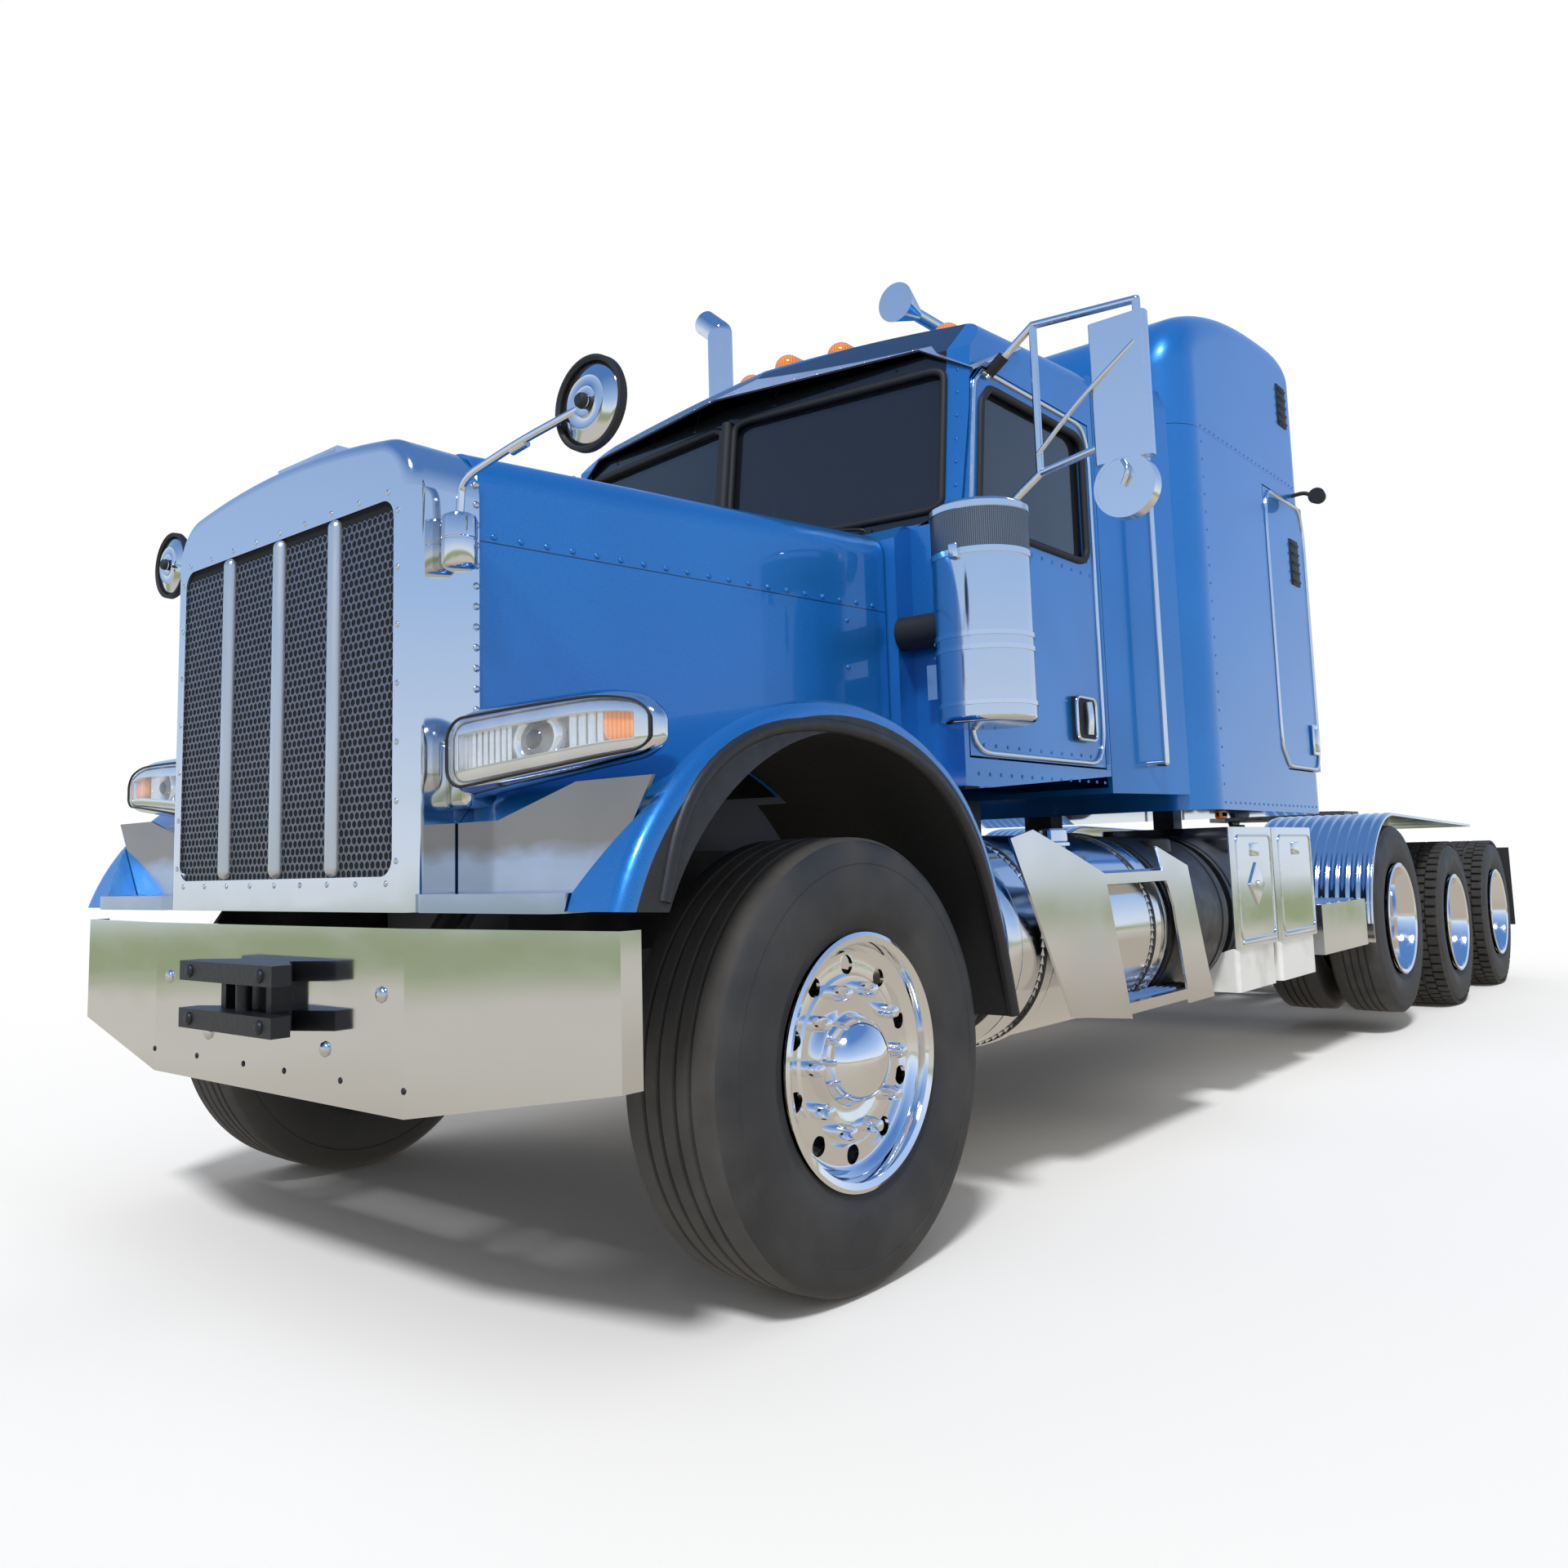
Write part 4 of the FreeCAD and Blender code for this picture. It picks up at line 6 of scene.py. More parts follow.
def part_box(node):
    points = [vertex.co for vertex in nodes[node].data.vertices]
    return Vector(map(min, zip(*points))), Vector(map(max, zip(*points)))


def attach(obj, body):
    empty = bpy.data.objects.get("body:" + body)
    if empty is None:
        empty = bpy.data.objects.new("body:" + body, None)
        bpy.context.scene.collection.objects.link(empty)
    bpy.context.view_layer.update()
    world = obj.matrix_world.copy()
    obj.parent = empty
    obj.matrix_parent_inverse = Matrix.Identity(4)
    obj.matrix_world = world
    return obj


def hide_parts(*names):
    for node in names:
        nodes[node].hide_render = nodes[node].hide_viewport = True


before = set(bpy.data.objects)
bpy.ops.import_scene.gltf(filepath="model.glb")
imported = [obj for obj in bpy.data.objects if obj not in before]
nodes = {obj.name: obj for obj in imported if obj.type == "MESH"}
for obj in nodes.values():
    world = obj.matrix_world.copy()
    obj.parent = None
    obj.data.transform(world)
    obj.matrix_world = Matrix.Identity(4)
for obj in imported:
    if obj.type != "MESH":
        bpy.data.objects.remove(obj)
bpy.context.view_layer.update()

# The view: a wide lens at standing height ahead of the truck's left front corner, looking slightly
# up. The truck stands on its own tyres; places along it are given from the steering axle.
AXLE_Y = -3.721


def at(x, y, z):
    """A place given by x, the distance behind the steering axle, and the height."""
    return Vector((x, AXLE_Y + y, z))


yaw, pitch, roll = 0.7010, 0.1091, -0.0272
ahead = Vector((-sin(yaw) * cos(pitch), cos(yaw) * cos(pitch), sin(pitch)))
level = Vector((cos(yaw), sin(yaw), 0))
upright = level.cross(ahead)
right = cos(roll) * level + sin(roll) * upright
above = cos(roll) * upright - sin(roll) * level
bpy.ops.object.camera_add(location=at(2.9332, -2.4096, 1.0033))
camera = bpy.context.object
facing = Matrix((right, above, -ahead)).transposed().to_4x4()
camera.matrix_world = Matrix.Translation(camera.location) @ facing
camera.data.lens = 28.05
camera.data.sensor_width = 36
camera.data.shift_x, camera.data.shift_y = 0.0148, -0.0357
bpy.context.scene.camera = camera


class Wire:
    """One socket of a node tree, so that patterns are written as sums."""

    def __init__(self, tree, socket):
        self.tree, self.socket = tree, socket

    def maths(self, kind, first, second=0.0):
        return self.tree.node("Math", {"operation": kind}, {0: first, 1: second})

    def __add__(self, other):
        return self.maths("ADD", self, other)

    def __sub__(self, other):
        return self.maths("SUBTRACT", self, other)

    def __mul__(self, other):
        return self.maths("MULTIPLY", self, other)

    def __gt__(self, edge):
        return self.maths("GREATER_THAN", self, edge)

    def __lt__(self, edge):
        return self.maths("LESS_THAN", self, edge)

    def wrap(self, step):
        """The rest after whole steps are taken off, from 0 to 1."""
        return self.maths("FRACT", self * (1 / step))

    def curve(self, *stops):
        """Follows straight lines between (value, result) stops."""
        out = None
        for (a, fa), (b, fb) in zip(stops, stops[1:]):
            part = self.tree.node("MapRange", {}, {0: self, 1: a, 2: b, 3: 0.0, 4: fb - fa})
            out = part if out is None else out + part
        return out + stops[0][1]


class Tree:
    """A node tree that is written node by node."""

    def __init__(self, tree):
        self.tree = tree

    def node(self, kind, settings=None, sockets=None, out=0):
        """A new node with settings and sockets given by name or number; gives back one output."""
        made = self.tree.nodes.new("ShaderNode" + kind)
        for key, value in (settings or {}).items():
            setattr(made, key, value)
        for key, value in (sockets or {}).items():
            self.feed(made.inputs[key], value)
        return Wire(self, made.outputs[out])

    def feed(self, socket, value):
        if isinstance(value, Wire):
            self.tree.links.new(value.socket, socket)
        else:
            socket.default_value = value


class Finish(Tree):
    """A material in the making. Its sheen is a noise and two stops of roughness; its grain is a noise,
    the depth of its bumps and their strength."""

    def __init__(self, name, color, roughness=0.4, metallic=0.0, sheen=None, grain=None, slot="", **plain):
        self.material = bpy.data.materials.new(name)
        self.material.use_nodes = True
        super().__init__(self.material.node_tree)
        self.slot = slot
        self.shader = self.tree.nodes["Principled BSDF"]
        self.place = self.node("TexCoord", out="Object")
        self.set("Base Color", (*color, 1))
        self.set("Roughness", roughness)
        self.set("Metallic", metallic)
        for socket, value in plain.items():
            self.set(socket.replace("_", " ").title().replace("Ior", "IOR"), value)
        if sheen:
            self.set("Roughness", self.noise(*sheen[0]).curve(*sheen[1:]))
        if grain:
            self.bump(self.noise(*grain[0]), *grain[1:])

    def set(self, name, value):
        self.feed(self.shader.inputs[name], value)

    def noise(self, scale, detail=3.0, stretch=(1, 1, 1)):
        where = self.node("Mapping", {}, {"Vector": self.place, "Scale": stretch})
        return self.node("TexNoise", {}, {"Vector": where, "Scale": scale, "Detail": detail})

    def mix(self, factor, first, second):
        colors = [c if isinstance(c, Wire) else (*c, 1) for c in (first, second)]
        return self.node("Mix", {"data_type": "RGBA"}, {0: factor, 6: colors[0], 7: colors[1]}, out=2)

    def tint(self, factor, first, second):
        self.set("Base Color", self.mix(factor, first, second))

    def axis(self, letter):
        return self.node("SeparateXYZ", {}, {0: self.place}, out="XYZ".index(letter))

    def uv(self, which):
        return self.node("SeparateXYZ", {}, {0: self.node("UVMap")}, out=which)

    def bump(self, height, distance, strength=1.0):
        sockets = {"Height": height, "Distance": distance, "Strength": strength}
        self.set("Normal", self.node("Bump", {}, sockets))


# The studio: a pale floor that runs out to white, a broad soft sun from the front left and a pale
# sky. Metal and glass see a yard on the floor and a white horizon that turns blue overhead.
bpy.context.scene.view_settings.view_transform = "Standard"
world = bpy.data.worlds.new("studio_sky")
bpy.context.scene.world = world
world.use_nodes = True
sky = Tree(world.node_tree)
background = world.node_tree.nodes["Background"]
background.inputs["Color"].default_value = (1, 1, 1, 1)
background.inputs["Strength"].default_value = 0.54
height = sky.node("SeparateXYZ", {}, {0: sky.node("TexCoord")}, out=2)
shades = sky.node("ValToRGB", {}, {0: height})
stops = shades.socket.node.color_ramp.elements
stops[0].position, stops[0].color = 0.0, (0.80, 0.89, 1.0, 1)
stops[1].position, stops[1].color = 0.75, (0.10, 0.24, 0.58, 1)
stops.new(0.22).color = (0.44, 0.62, 0.95, 1)
seen = sky.node("Background", {}, {"Color": shades})
plain = sky.node("Background", {}, {"Color": (1, 1, 1, 1)})
rays = sky.node("LightPath", out="Is Camera Ray")
glossy = Wire(sky, rays.socket.node.outputs["Is Glossy Ray"])
lit = sky.node("MixShader", {}, {0: glossy, 1: Wire(sky, background.outputs[0]), 2: seen})
shown = sky.node("MixShader", {}, {0: rays, 1: lit, 2: plain})
sky.feed(world.node_tree.nodes["World Output"].inputs["Surface"], shown)
bpy.ops.object.light_add(type="SUN", rotation=(radians(38), 0, radians(28)))
sun = bpy.context.object
sun.data.energy = 2.15
sun.data.angle = radians(9)
bpy.ops.mesh.primitive_plane_add(size=240, location=(0, 0, 0))
floor = bpy.context.object
floor.name = "floor"
pale = Finish("floor_pale", (0.93, 0.93, 0.93), roughness=0.9, specular_ior_level=0.0)
away = pale.node("VectorMath", {"operation": "LENGTH"}, {0: pale.place}, out=1) + pale.noise(0.25, 3) * 5
ground = pale.mix(away.curve((6, 0), (10, 1)), (0.50, 0.45, 0.38), (0.66, 0.63, 0.57))
ground = pale.mix(away.curve((13, 0), (16, 1)), ground, (0.36, 0.42, 0.26))
ground = pale.mix(away.curve((22, 0), (45, 1)), ground, (0.80, 0.87, 0.95))
yard = pale.node("Emission", {}, {0: ground, 1: 1.0})
in_gloss = pale.node("LightPath", out=3)
either = pale.node("MixShader", {}, {0: in_gloss, 1: Wire(pale, pale.shader.outputs[0]), 2: yard})
pale.feed(pale.tree.nodes["Material Output"].inputs["Surface"], either)
floor.data.materials.append(pale.material)


def choose(*pieces):
    """Selects these pieces alone, the first one active."""
    bpy.ops.object.select_all(action="DESELECT")
    for piece in pieces:
        piece.select_set(True)
    if pieces:
        bpy.context.view_layer.objects.active = pieces[0]


def dress(names, finish, angle=32):
    """Gives CAD pieces a finish."""
    for name in names:
        piece = nodes[name]
        piece.data.materials.clear()
        piece.data.materials.append(finish.material)
        choose(piece)
        bpy.ops.object.shade_smooth_by_angle(angle=radians(angle))


def dress_faces(name, finish, wanted):
    """Gives the faces of a CAD piece that pass a further finish."""
    mesh = nodes[name].data
    mesh.materials.append(finish.material)
    for face in mesh.polygons:
        if wanted(face.center, face.normal):
            face.material_index = len(mesh.materials) - 1


def shape(add, **settings):
    """A plain shape, selected alone, with its place put into its mesh."""
    choose()
    add(**settings)
    bpy.ops.object.transform_apply()
    return bpy.context.object


def worked(piece, kind, **settings):
    """Puts a modifier on the active piece and applies it."""
    step = piece.modifiers.new(kind.lower(), kind)
    for key, value in settings.items():
        setattr(step, key, value)
    bpy.ops.object.modifier_apply(modifier=step.name)
    return piece


def repeated(piece, count, step):
    """A row of the active piece, each one a step on."""
    return worked(piece, "ARRAY", count=count, use_relative_offset=False, use_constant_offset=True,
                  constant_offset_displace=step)


def edit():
    """Enters edit mode with all of the active piece selected."""
    bpy.ops.object.mode_set(mode="EDIT")
    bpy.ops.mesh.select_all(action="SELECT")


def leave():
    bpy.ops.object.mode_set(mode="OBJECT")


def merged(parts):
    """Parts made into one mesh, which is active."""
    choose(*parts)
    if len(parts) > 1:
        bpy.ops.object.join()
    return parts[0]


def join(name, parts, finish, body, angle=35, both_sides=False):
    """Parts made into one named piece that rides on a body, on the left alone or on both sides."""
    piece = merged(parts)
    if both_sides:
        worked(piece, "MIRROR", use_mirror_merge=False)
    bpy.ops.object.transform_apply()
    piece.name = piece.data.name = name
    piece.data.materials.append(finish.material)
    bpy.ops.object.shade_smooth_by_angle(angle=radians(angle))
    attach(piece, body)
    return piece


# Frame, axles and shafts: black chassis paint, thinly dusted, over rolled and cast steel.
# The rails carry everything; the axles hang below them on leaf packs and air springs.
chassis_paint = Finish("chassis_paint", (0.02, 0.02, 0.021), slot="chassis_black", grain=((180, 2), 0.0006))
dust = chassis_paint.noise(6, 5)
chassis_paint.tint(dust.curve((0.45, 0), (0.75, 0.5)), (0.012, 0.012, 0.013), (0.07, 0.062, 0.052))
chassis_paint.set("Roughness", dust.curve((0.3, 0.35), (0.7, 0.65)))
dress(["frame_rails", "front_axle", "rear_axles", "drive_shafts", "radiator", "knuckle_left",
       "knuckle_right", "fifth_wheel_base"], chassis_paint)
cast_grey = Finish("cast_grey", (0.12, 0.12, 0.125), 0.6, 0.3, grain=((90, 4), 0.001))
dress(["engine_block"], cast_grey)
greased = Finish("greased_steel", (0.05, 0.048, 0.045), metallic=0.7)
smear = greased.noise(14, 5, (1, 3, 1))
greased.tint(smear, (0.02, 0.018, 0.016), (0.16, 0.15, 0.14))
greased.set("Roughness", smear.curve((0.3, 0.2), (0.7, 0.6)))
dress(["fifth_wheel_plate"], greased)

# Tyres: rubber on every wheel. The steered ones have five straight ribs with fine sipes, the
# drive ones rows of blocks, and all have stepped sidewalls. Each is a section spun on its axle.
sidewall = Finish("sidewall_rubber", (0.03, 0.03, 0.031))
scuff = sidewall.noise(5, 6)
sidewall.tint(scuff.curve((0.4, 0), (0.7, 1)), (0.026, 0.026, 0.027), (0.055, 0.053, 0.05))
sidewall.set("Roughness", scuff.curve((0.3, 0.5), (0.7, 0.72)))
ring = sidewall.uv(1)
hoops = (ring.wrap(0.006) > 0.55) * (ring > 0.447)
sidewall.bump(hoops * 0.8 + sidewall.noise(220, 2) * 0.4, 0.0009)
tread_rubber = Finish("tread_rubber", (0.04, 0.038, 0.036), roughness=0.8)
tread_rubber.tint(tread_rubber.noise(9, 5), (0.028, 0.027, 0.026), (0.085, 0.078, 0.07))
turn, across = tread_rubber.uv(0), tread_rubber.uv(1)
off_middle = across.wrap(0.02) - 0.5
zigzag = off_middle.maths("ABSOLUTE", off_middle) * 0.004
sipes = (turn + zigzag).wrap(1 / 130) > 0.14
tread_rubber.bump(sipes * 1.0 + tread_rubber.noise(260, 2) * 0.2, 0.003)


def spin(steps, merge, copies=True):
    """Spins the selection right round the X axis, as copies or as a skin, and closes it."""
    bpy.ops.mesh.spin(steps=steps, angle=tau, center=(0, 0, 0), axis=(1, 0, 0), dupli=copies)
    bpy.ops.mesh.select_all(action="SELECT")
    bpy.ops.mesh.remove_doubles(threshold=merge)


def spun(profile, steps):
    """One vertex drawn along a profile of (along the axle, radius), then spun round the axle."""
    piece = shape(bpy.ops.mesh.primitive_plane_add, size=0.01, location=(0, 0, 0))
    bpy.ops.object.mode_set(mode="EDIT")
    bpy.ops.mesh.select_mode(type="VERT")
    bpy.ops.mesh.select_all(action="SELECT")
    bpy.ops.mesh.merge(type="CENTER")
    bpy.ops.transform.translate(value=(profile[0][0], 0, profile[0][1]))
    for (a, b), (c, d) in zip(profile, profile[1:]):
        bpy.ops.mesh.extrude_vertices_move(TRANSFORM_OT_translate={"value": (c - a, 0, d - b)})
    bpy.ops.mesh.select_all(action="SELECT")
    spin(steps, 0.00005, copies=False)
    bpy.ops.mesh.normals_make_consistent(inside=False)
    leave()
    return piece


def in_rubber(piece, tread_radius, smooth=True):
    """Both rubbers, and a map that turns as u; v is the radius, or the place across on the tread."""
    mesh = piece.data
    for finish in (sidewall, tread_rubber):
        mesh.materials.append(finish.material)
    layer = mesh.uv_layers.new(name="round")
    for face in mesh.polygons:
        middle = face.center
        base = atan2(middle.z, middle.y) / tau
        crown = sqrt(middle.y ** 2 + middle.z ** 2) > tread_radius
        face.material_index = 1 if crown else 0
        for loop in face.loop_indices:
            point = mesh.vertices[mesh.loops[loop].vertex_index].co
            u = atan2(point.z, point.y) / tau
            u += round(base - u)
            v = point.x + 0.5 if crown else sqrt(point.y ** 2 + point.z ** 2)
            layer.data[loop].uv = (u + 0.5, v)
    if smooth:
        bpy.ops.object.shade_smooth_by_angle(angle=radians(38))
    return piece


bead_radius = 0.2955


def tyre_outline(half, radius, grooves=(), depth=0):
    """The section from bead to bead: a stepped sidewall, then the tread with its grooves."""
    rise = radius - bead_radius
    out = [(half * x, bead_radius + z) for x, z in (
        (0.82, 0), (0.87, 0.012), (0.885, 0.03), (0.945, 0.042), (0.955, 0.06), (0.985, rise * 0.36),
        (1, rise * 0.5), (0.995, rise * 0.62), (0.972, rise * 0.71), (0.982, rise * 0.72),
        (0.965, rise * 0.82), (0.93, rise * 0.9))]
    out += [(half * 0.865, radius - 0.011), (half * 0.80, radius - 0.0035)]
    for x in grooves:
        out += [(x + 0.0065, radius - 0.0015), (x + 0.0045, radius - 0.005), (x + 0.003, radius - depth),
                (x - 0.003, radius - depth), (x - 0.0045, radius - 0.005), (x - 0.0065, radius - 0.001)]
    return out + [(0, radius)] + [(-x, r) for x, r in reversed(out)]


sides = ((1, "left"), (-1, "right"))


def on_wheels(pattern, wheel, tyres, node, names):
    """Copies at the left and right wheel, each with its own mesh, the right ones turned round. Each
    name has its distance out from the middle of the tyres; an inner one replaces nothing."""
    for side, word in sides:
        low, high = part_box(f"{tyres}_{word}")
        about = Matrix.Rotation(pi if side < 0 else 0, 4, "Z")
        for name, out in names.items():
            piece = pattern.copy()
            piece.data = pattern.data.copy()
            bpy.context.collection.objects.link(piece)
            centre = (low + high) / 2 + Vector((side * out, 0, 0))
            piece.data.transform(Matrix.Translation(centre) @ about)
            piece.name = piece.data.name = f"{name}_{word}"
            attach(piece, f"{wheel}_wheel_{word}")
            if out >= 0:
                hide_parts(f"{node}_{word}")


steer_tyre = in_rubber(spun(tyre_outline(0.1525, 0.530, (0.068, 0.024), 0.013), 144), 0.514)
on_wheels(steer_tyre, "steer", "steer_tyre", "steer_tyre", {"ribbed_tyre": 0})
trailing_tyre = in_rubber(spun(tyre_outline(0.1375, 0.508, (0.056, 0.019), 0.012), 96), 0.492)
lug_base = in_rubber(spun(tyre_outline(0.1375, 0.494), 72), 0.478)
lug_count = 54
lug_length, lug_rise = 0.044, 0.019
blocks = [lug_base]
for x, width, skew in ((0.093, 0.062, 0.0), (0.0325, 0.05, 0.5), (-0.0325, 0.05, 0.0), (-0.093, 0.062, 0.5)):
    block = shape(bpy.ops.mesh.primitive_cube_add, size=1, location=(x, 0, 0.4985),
                  scale=(width, lug_length, lug_rise))
    worked(block, "BEVEL", width=0.003, segments=1)
    edit()
    bpy.ops.transform.rotate(value=skew * tau / lug_count, orient_axis="X", center_override=(0, 0, 0))
    spin(lug_count, 0.00002)
    leave()
    blocks.append(in_rubber(block, 0.3, smooth=False))
merged(blocks)
twin_half = 0.17
trailing = {"pusher": trailing_tyre, "drive_front": lug_base, "drive_rear": lug_base}
for name, pattern in trailing.items():
    on_wheels(pattern, name, f"{name}_tyres", f"{name}_tyres",
              {f"{name}_outer_tyre": twin_half, f"{name}_inner_tyre": -twin_half})

# Rims: forged aluminium, mirror polished, ten round hand holes, a ring of bullet nut covers and a
# domed hub cap. The inner rims of the twins are plain dishes behind them.
rim_polish = Finish("rim_polish", (0.88, 0.88, 0.89), metallic=1.0,
                    sheen=((30, 3), (0.35, 0.05), (0.7, 0.14)),
                    grain=((7, 2), 0.0012, 0.4))
hole_ring, hole_radius, nut_ring = 0.222, 0.0235, 0.1675


def rim_set(dish, cap, nut_base, barrel, steps):
    """Dish with hand holes, hub cap, nut covers and barrel as one piece, centred on the tyre or twin."""
    rim = worked(spun(dish, steps), "SOLIDIFY", thickness=0.010, offset=1)
    edit()
    bpy.ops.mesh.normals_make_consistent(inside=False)
    leave()
    hole = shape(bpy.ops.mesh.primitive_cylinder_add, vertices=20, radius=hole_radius, depth=0.12,
                 location=(nut_base, 0, hole_ring), rotation=(0, pi / 2, 0))
    edit()
    spin(10, 0.0001)
    leave()
    choose(rim)
    worked(rim, "BOOLEAN", operation="DIFFERENCE", object=hole, solver="EXACT")
    bpy.data.objects.remove(hole)
    hub = spun(cap, 64)
    nut = [(-0.004, 0.024), (0.006, 0.024), (0.008, 0.0195), (0.040, 0.0185), (0.056, 0.0125), (0.062, 0.0)]
    nuts = spun([(nut_base + x, r) for x, r in nut], 16)
    edit()
    bpy.ops.transform.translate(value=(0, sin(pi / 10) * nut_ring, cos(pi / 10) * nut_ring))
    spin(10, 0.0001)
    leave()
    merged([rim, hub, nuts, spun(barrel, 48)])
    rim.data.materials.append(rim_polish.material)
    bpy.ops.object.shade_smooth_by_angle(angle=radians(30))
    return rim


steer_dish = [(0.133, 0.2945), (0.136, 0.290), (0.133, 0.283), (0.124, 0.279), (0.108, 0.276),
              (0.101, 0.268), (0.094, 0.2625), (0.086, 0.254), (0.083, 0.246), (0.085, 0.225),
              (0.085, 0.200), (0.090, 0.192), (0.091, 0.140), (0.086, 0.128), (0.086, 0.112)]
steer_cap = [(0.083, 0.116), (0.093, 0.115), (0.095, 0.108), (0.120, 0.101), (0.146, 0.090),
             (0.166, 0.070), (0.178, 0.042), (0.184, 0.018), (0.185, 0.0)]
steer_barrel = [(0.133, 0.2945), (0.125, 0.2925), (0.124, 0.284), (0.10, 0.279), (0.08, 0.2715),
                (-0.08, 0.2715), (-0.10, 0.279), (-0.124, 0.284), (-0.125, 0.2925), (-0.133, 0.2945),
                (-0.133, 0.276), (-0.08, 0.258), (0.075, 0.258)]
steer_rim = rim_set(steer_dish, steer_cap, 0.086, steer_barrel, 120)
on_wheels(steer_rim, "steer", "steer_tyre", "steer_rim", {"polished_rim": 0})
deep_dish = [(0.303, 0.2945), (0.306, 0.290), (0.303, 0.283), (0.294, 0.279), (0.27, 0.276),
             (0.255, 0.266), (0.20, 0.2585), (0.06, 0.252), (0.035, 0.246), (0.024, 0.235),
             (0.021, 0.215), (0.021, 0.20), (0.026, 0.192), (0.027, 0.140), (0.022, 0.128), (0.022, 0.112)]
deep_cap = [(0.02, 0.116), (0.05, 0.112), (0.054, 0.098), (0.125, 0.092), (0.145, 0.085),
            (0.152, 0.07), (0.164, 0.066), (0.168, 0.05), (0.170, 0.0)]
twin_barrel = [(0.295, 0.2925), (0.294, 0.284), (0.27, 0.279), (0.25, 0.2715), (-0.25, 0.2715),
               (-0.27, 0.279), (-0.294, 0.284), (-0.295, 0.2925), (-0.303, 0.2945), (-0.303, 0.276),
               (-0.25, 0.258), (0.0, 0.256), (0.0, 0.1)]
deep_rim = rim_set(deep_dish, deep_cap, 0.024, twin_barrel, 88)
for name in trailing:
    on_wheels(deep_rim, name, f"{name}_tyres", f"{name}_rims", {f"{name}_rim_set": 0})
for pattern in (steer_tyre, trailing_tyre, lug_base, steer_rim, deep_rim):
    bpy.data.objects.remove(pattern)

# Bumper and tow coupling: one folded sheet of polished stainless steel, held by dome headed bolts,
# with a black cast pin coupling bolted through its middle.
steel_polish = Finish("steel_polish", (0.74, 0.75, 0.76), slot="polished_steel", metallic=1.0,
                      sheen=((3.5, 4, (1, 1, 2.5)), (0.35, 0.04), (0.75, 0.15)),
                      grain=((1.6, 1), 0.010, 0.25))
dress(["front_bumper", "grille_shell"], steel_polish, 40)
black_cast = Finish("black_cast", (0.012, 0.012, 0.014), 0.42, slot="chassis_black", grain=((60, 4), 0.0012))
dress(["tow_coupling"], black_cast)
bright_bolt = Finish("bright_bolt", (0.7, 0.7, 0.7), 0.18, 1.0, slot="polished_steel",
                     grain=((300, 2), 0.0004))


def bar(size, place, edge, turn=(0, 0, 0)):
    """A block with softened edges."""
    choose()
    bpy.ops.mesh.primitive_cube_add(size=1, location=place, scale=size, rotation=turn)
    piece = bpy.context.object
    bpy.ops.object.transform_apply(location=False, rotation=False)
    return worked(piece, "BEVEL", width=edge, segments=3)


def dome_row(name, rows, radius, height, normal, finish, body, both_sides=False):
    """Rows of dome heads from (start, end, count), standing on a surface with that normal."""
    parts = []
    for start, end, count in rows:
        choose()
        bpy.ops.mesh.primitive_uv_sphere_add(segments=10, ring_count=6, radius=radius, location=(0, 0, 0))
        head = bpy.context.object
        head.scale = (1, 1, height / radius)
        head.rotation_mode = "QUATERNION"
        head.rotation_quaternion = Vector(normal).to_track_quat("Z", "Y")
        head.location = start
        bpy.ops.object.transform_apply()
        if count > 1:
            repeated(head, count, (Vector(end) - Vector(start)) / (count - 1))
        parts.append(head)
    return join(name, parts, finish, body, 60, both_sides)


forward = (0, -1, 0)
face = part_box("front_bumper")[0].y
bolts = [((-0.515, face, 0.735), (0.515, face, 0.735), 2), ((0.285, face, 0.60), (-0.285, face, 0.60), 2)]
dome_row("bumper_bolts", bolts, 0.019, 0.012, forward, bright_bolt, "chassis")
studs = [((side * (0.10 + 0.25 * i), face, 0.535), None, 1) for side in (1, -1) for i in range(3)]
dome_row("bumper_studs", studs, 0.008, 0.004, forward, black_cast, "chassis")
low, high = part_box("tow_coupling")
bolts = [((-0.175, low.y, z), (0.175, low.y, z), 2) for z in (high.z - 0.024, low.z + 0.024)]
dome_row("coupling_bolts", bolts, 0.017, 0.010, forward, black_cast, "chassis")

# Grille: a sheet of staggered round holes in front of a dark core, three satin half-round bars,
# and a row of small screws round the opening of the shell.
low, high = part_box("grille_mesh")
shell_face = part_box("grille_shell")[0].y
skin = 0.008
core_black = Finish("core_black", (0.004, 0.004, 0.005), 0.9, grain=((150, 2), 0.001))
satin_bar = Finish("satin_bar", (0.62, 0.63, 0.64), metallic=0.9,
                   sheen=((30, 3, (1, 1, 0.1)), (0.3, 0.2), (0.7, 0.42)))
dress(["grille_mesh"], core_black)
dress_faces("grille_mesh", satin_bar, lambda spot, _: spot.y < shell_face + skin - 0.001)
punched = Finish("punched_sheet", (0.17, 0.18, 0.21), slot="aluminium", metallic=0.8,
                 sheen=((40, 2), (0.3, 0.25), (0.7, 0.5)))
pitch_x, hole_r = 0.0222, 0.0087
row_step = pitch_x * sqrt(3) / 2
cell = pitch_x / sqrt(3) / hole_r
middle = Vector((low.x + 0.022, shell_face + skin - 0.001, low.z + 0.022))
sheet = shape(bpy.ops.mesh.primitive_circle_add, vertices=12, radius=hole_r, rotation=(pi / 2, 0, 0),
              location=middle)
edit()
bpy.ops.mesh.extrude_edges_move(TRANSFORM_OT_translate={"value": (0, 0, 0)})
bpy.ops.transform.resize(value=(cell, 1, cell), center_override=middle)
bpy.ops.mesh.select_all(action="DESELECT")
leave()
for point in sheet.data.vertices:
    arm = point.co - middle
    turned_by = atan2(arm.z, arm.x) / (pi / 6)
    point.select = arm.length > hole_r * 1.2 and round(turned_by) % 2 == 0
bpy.ops.object.mode_set(mode="EDIT")
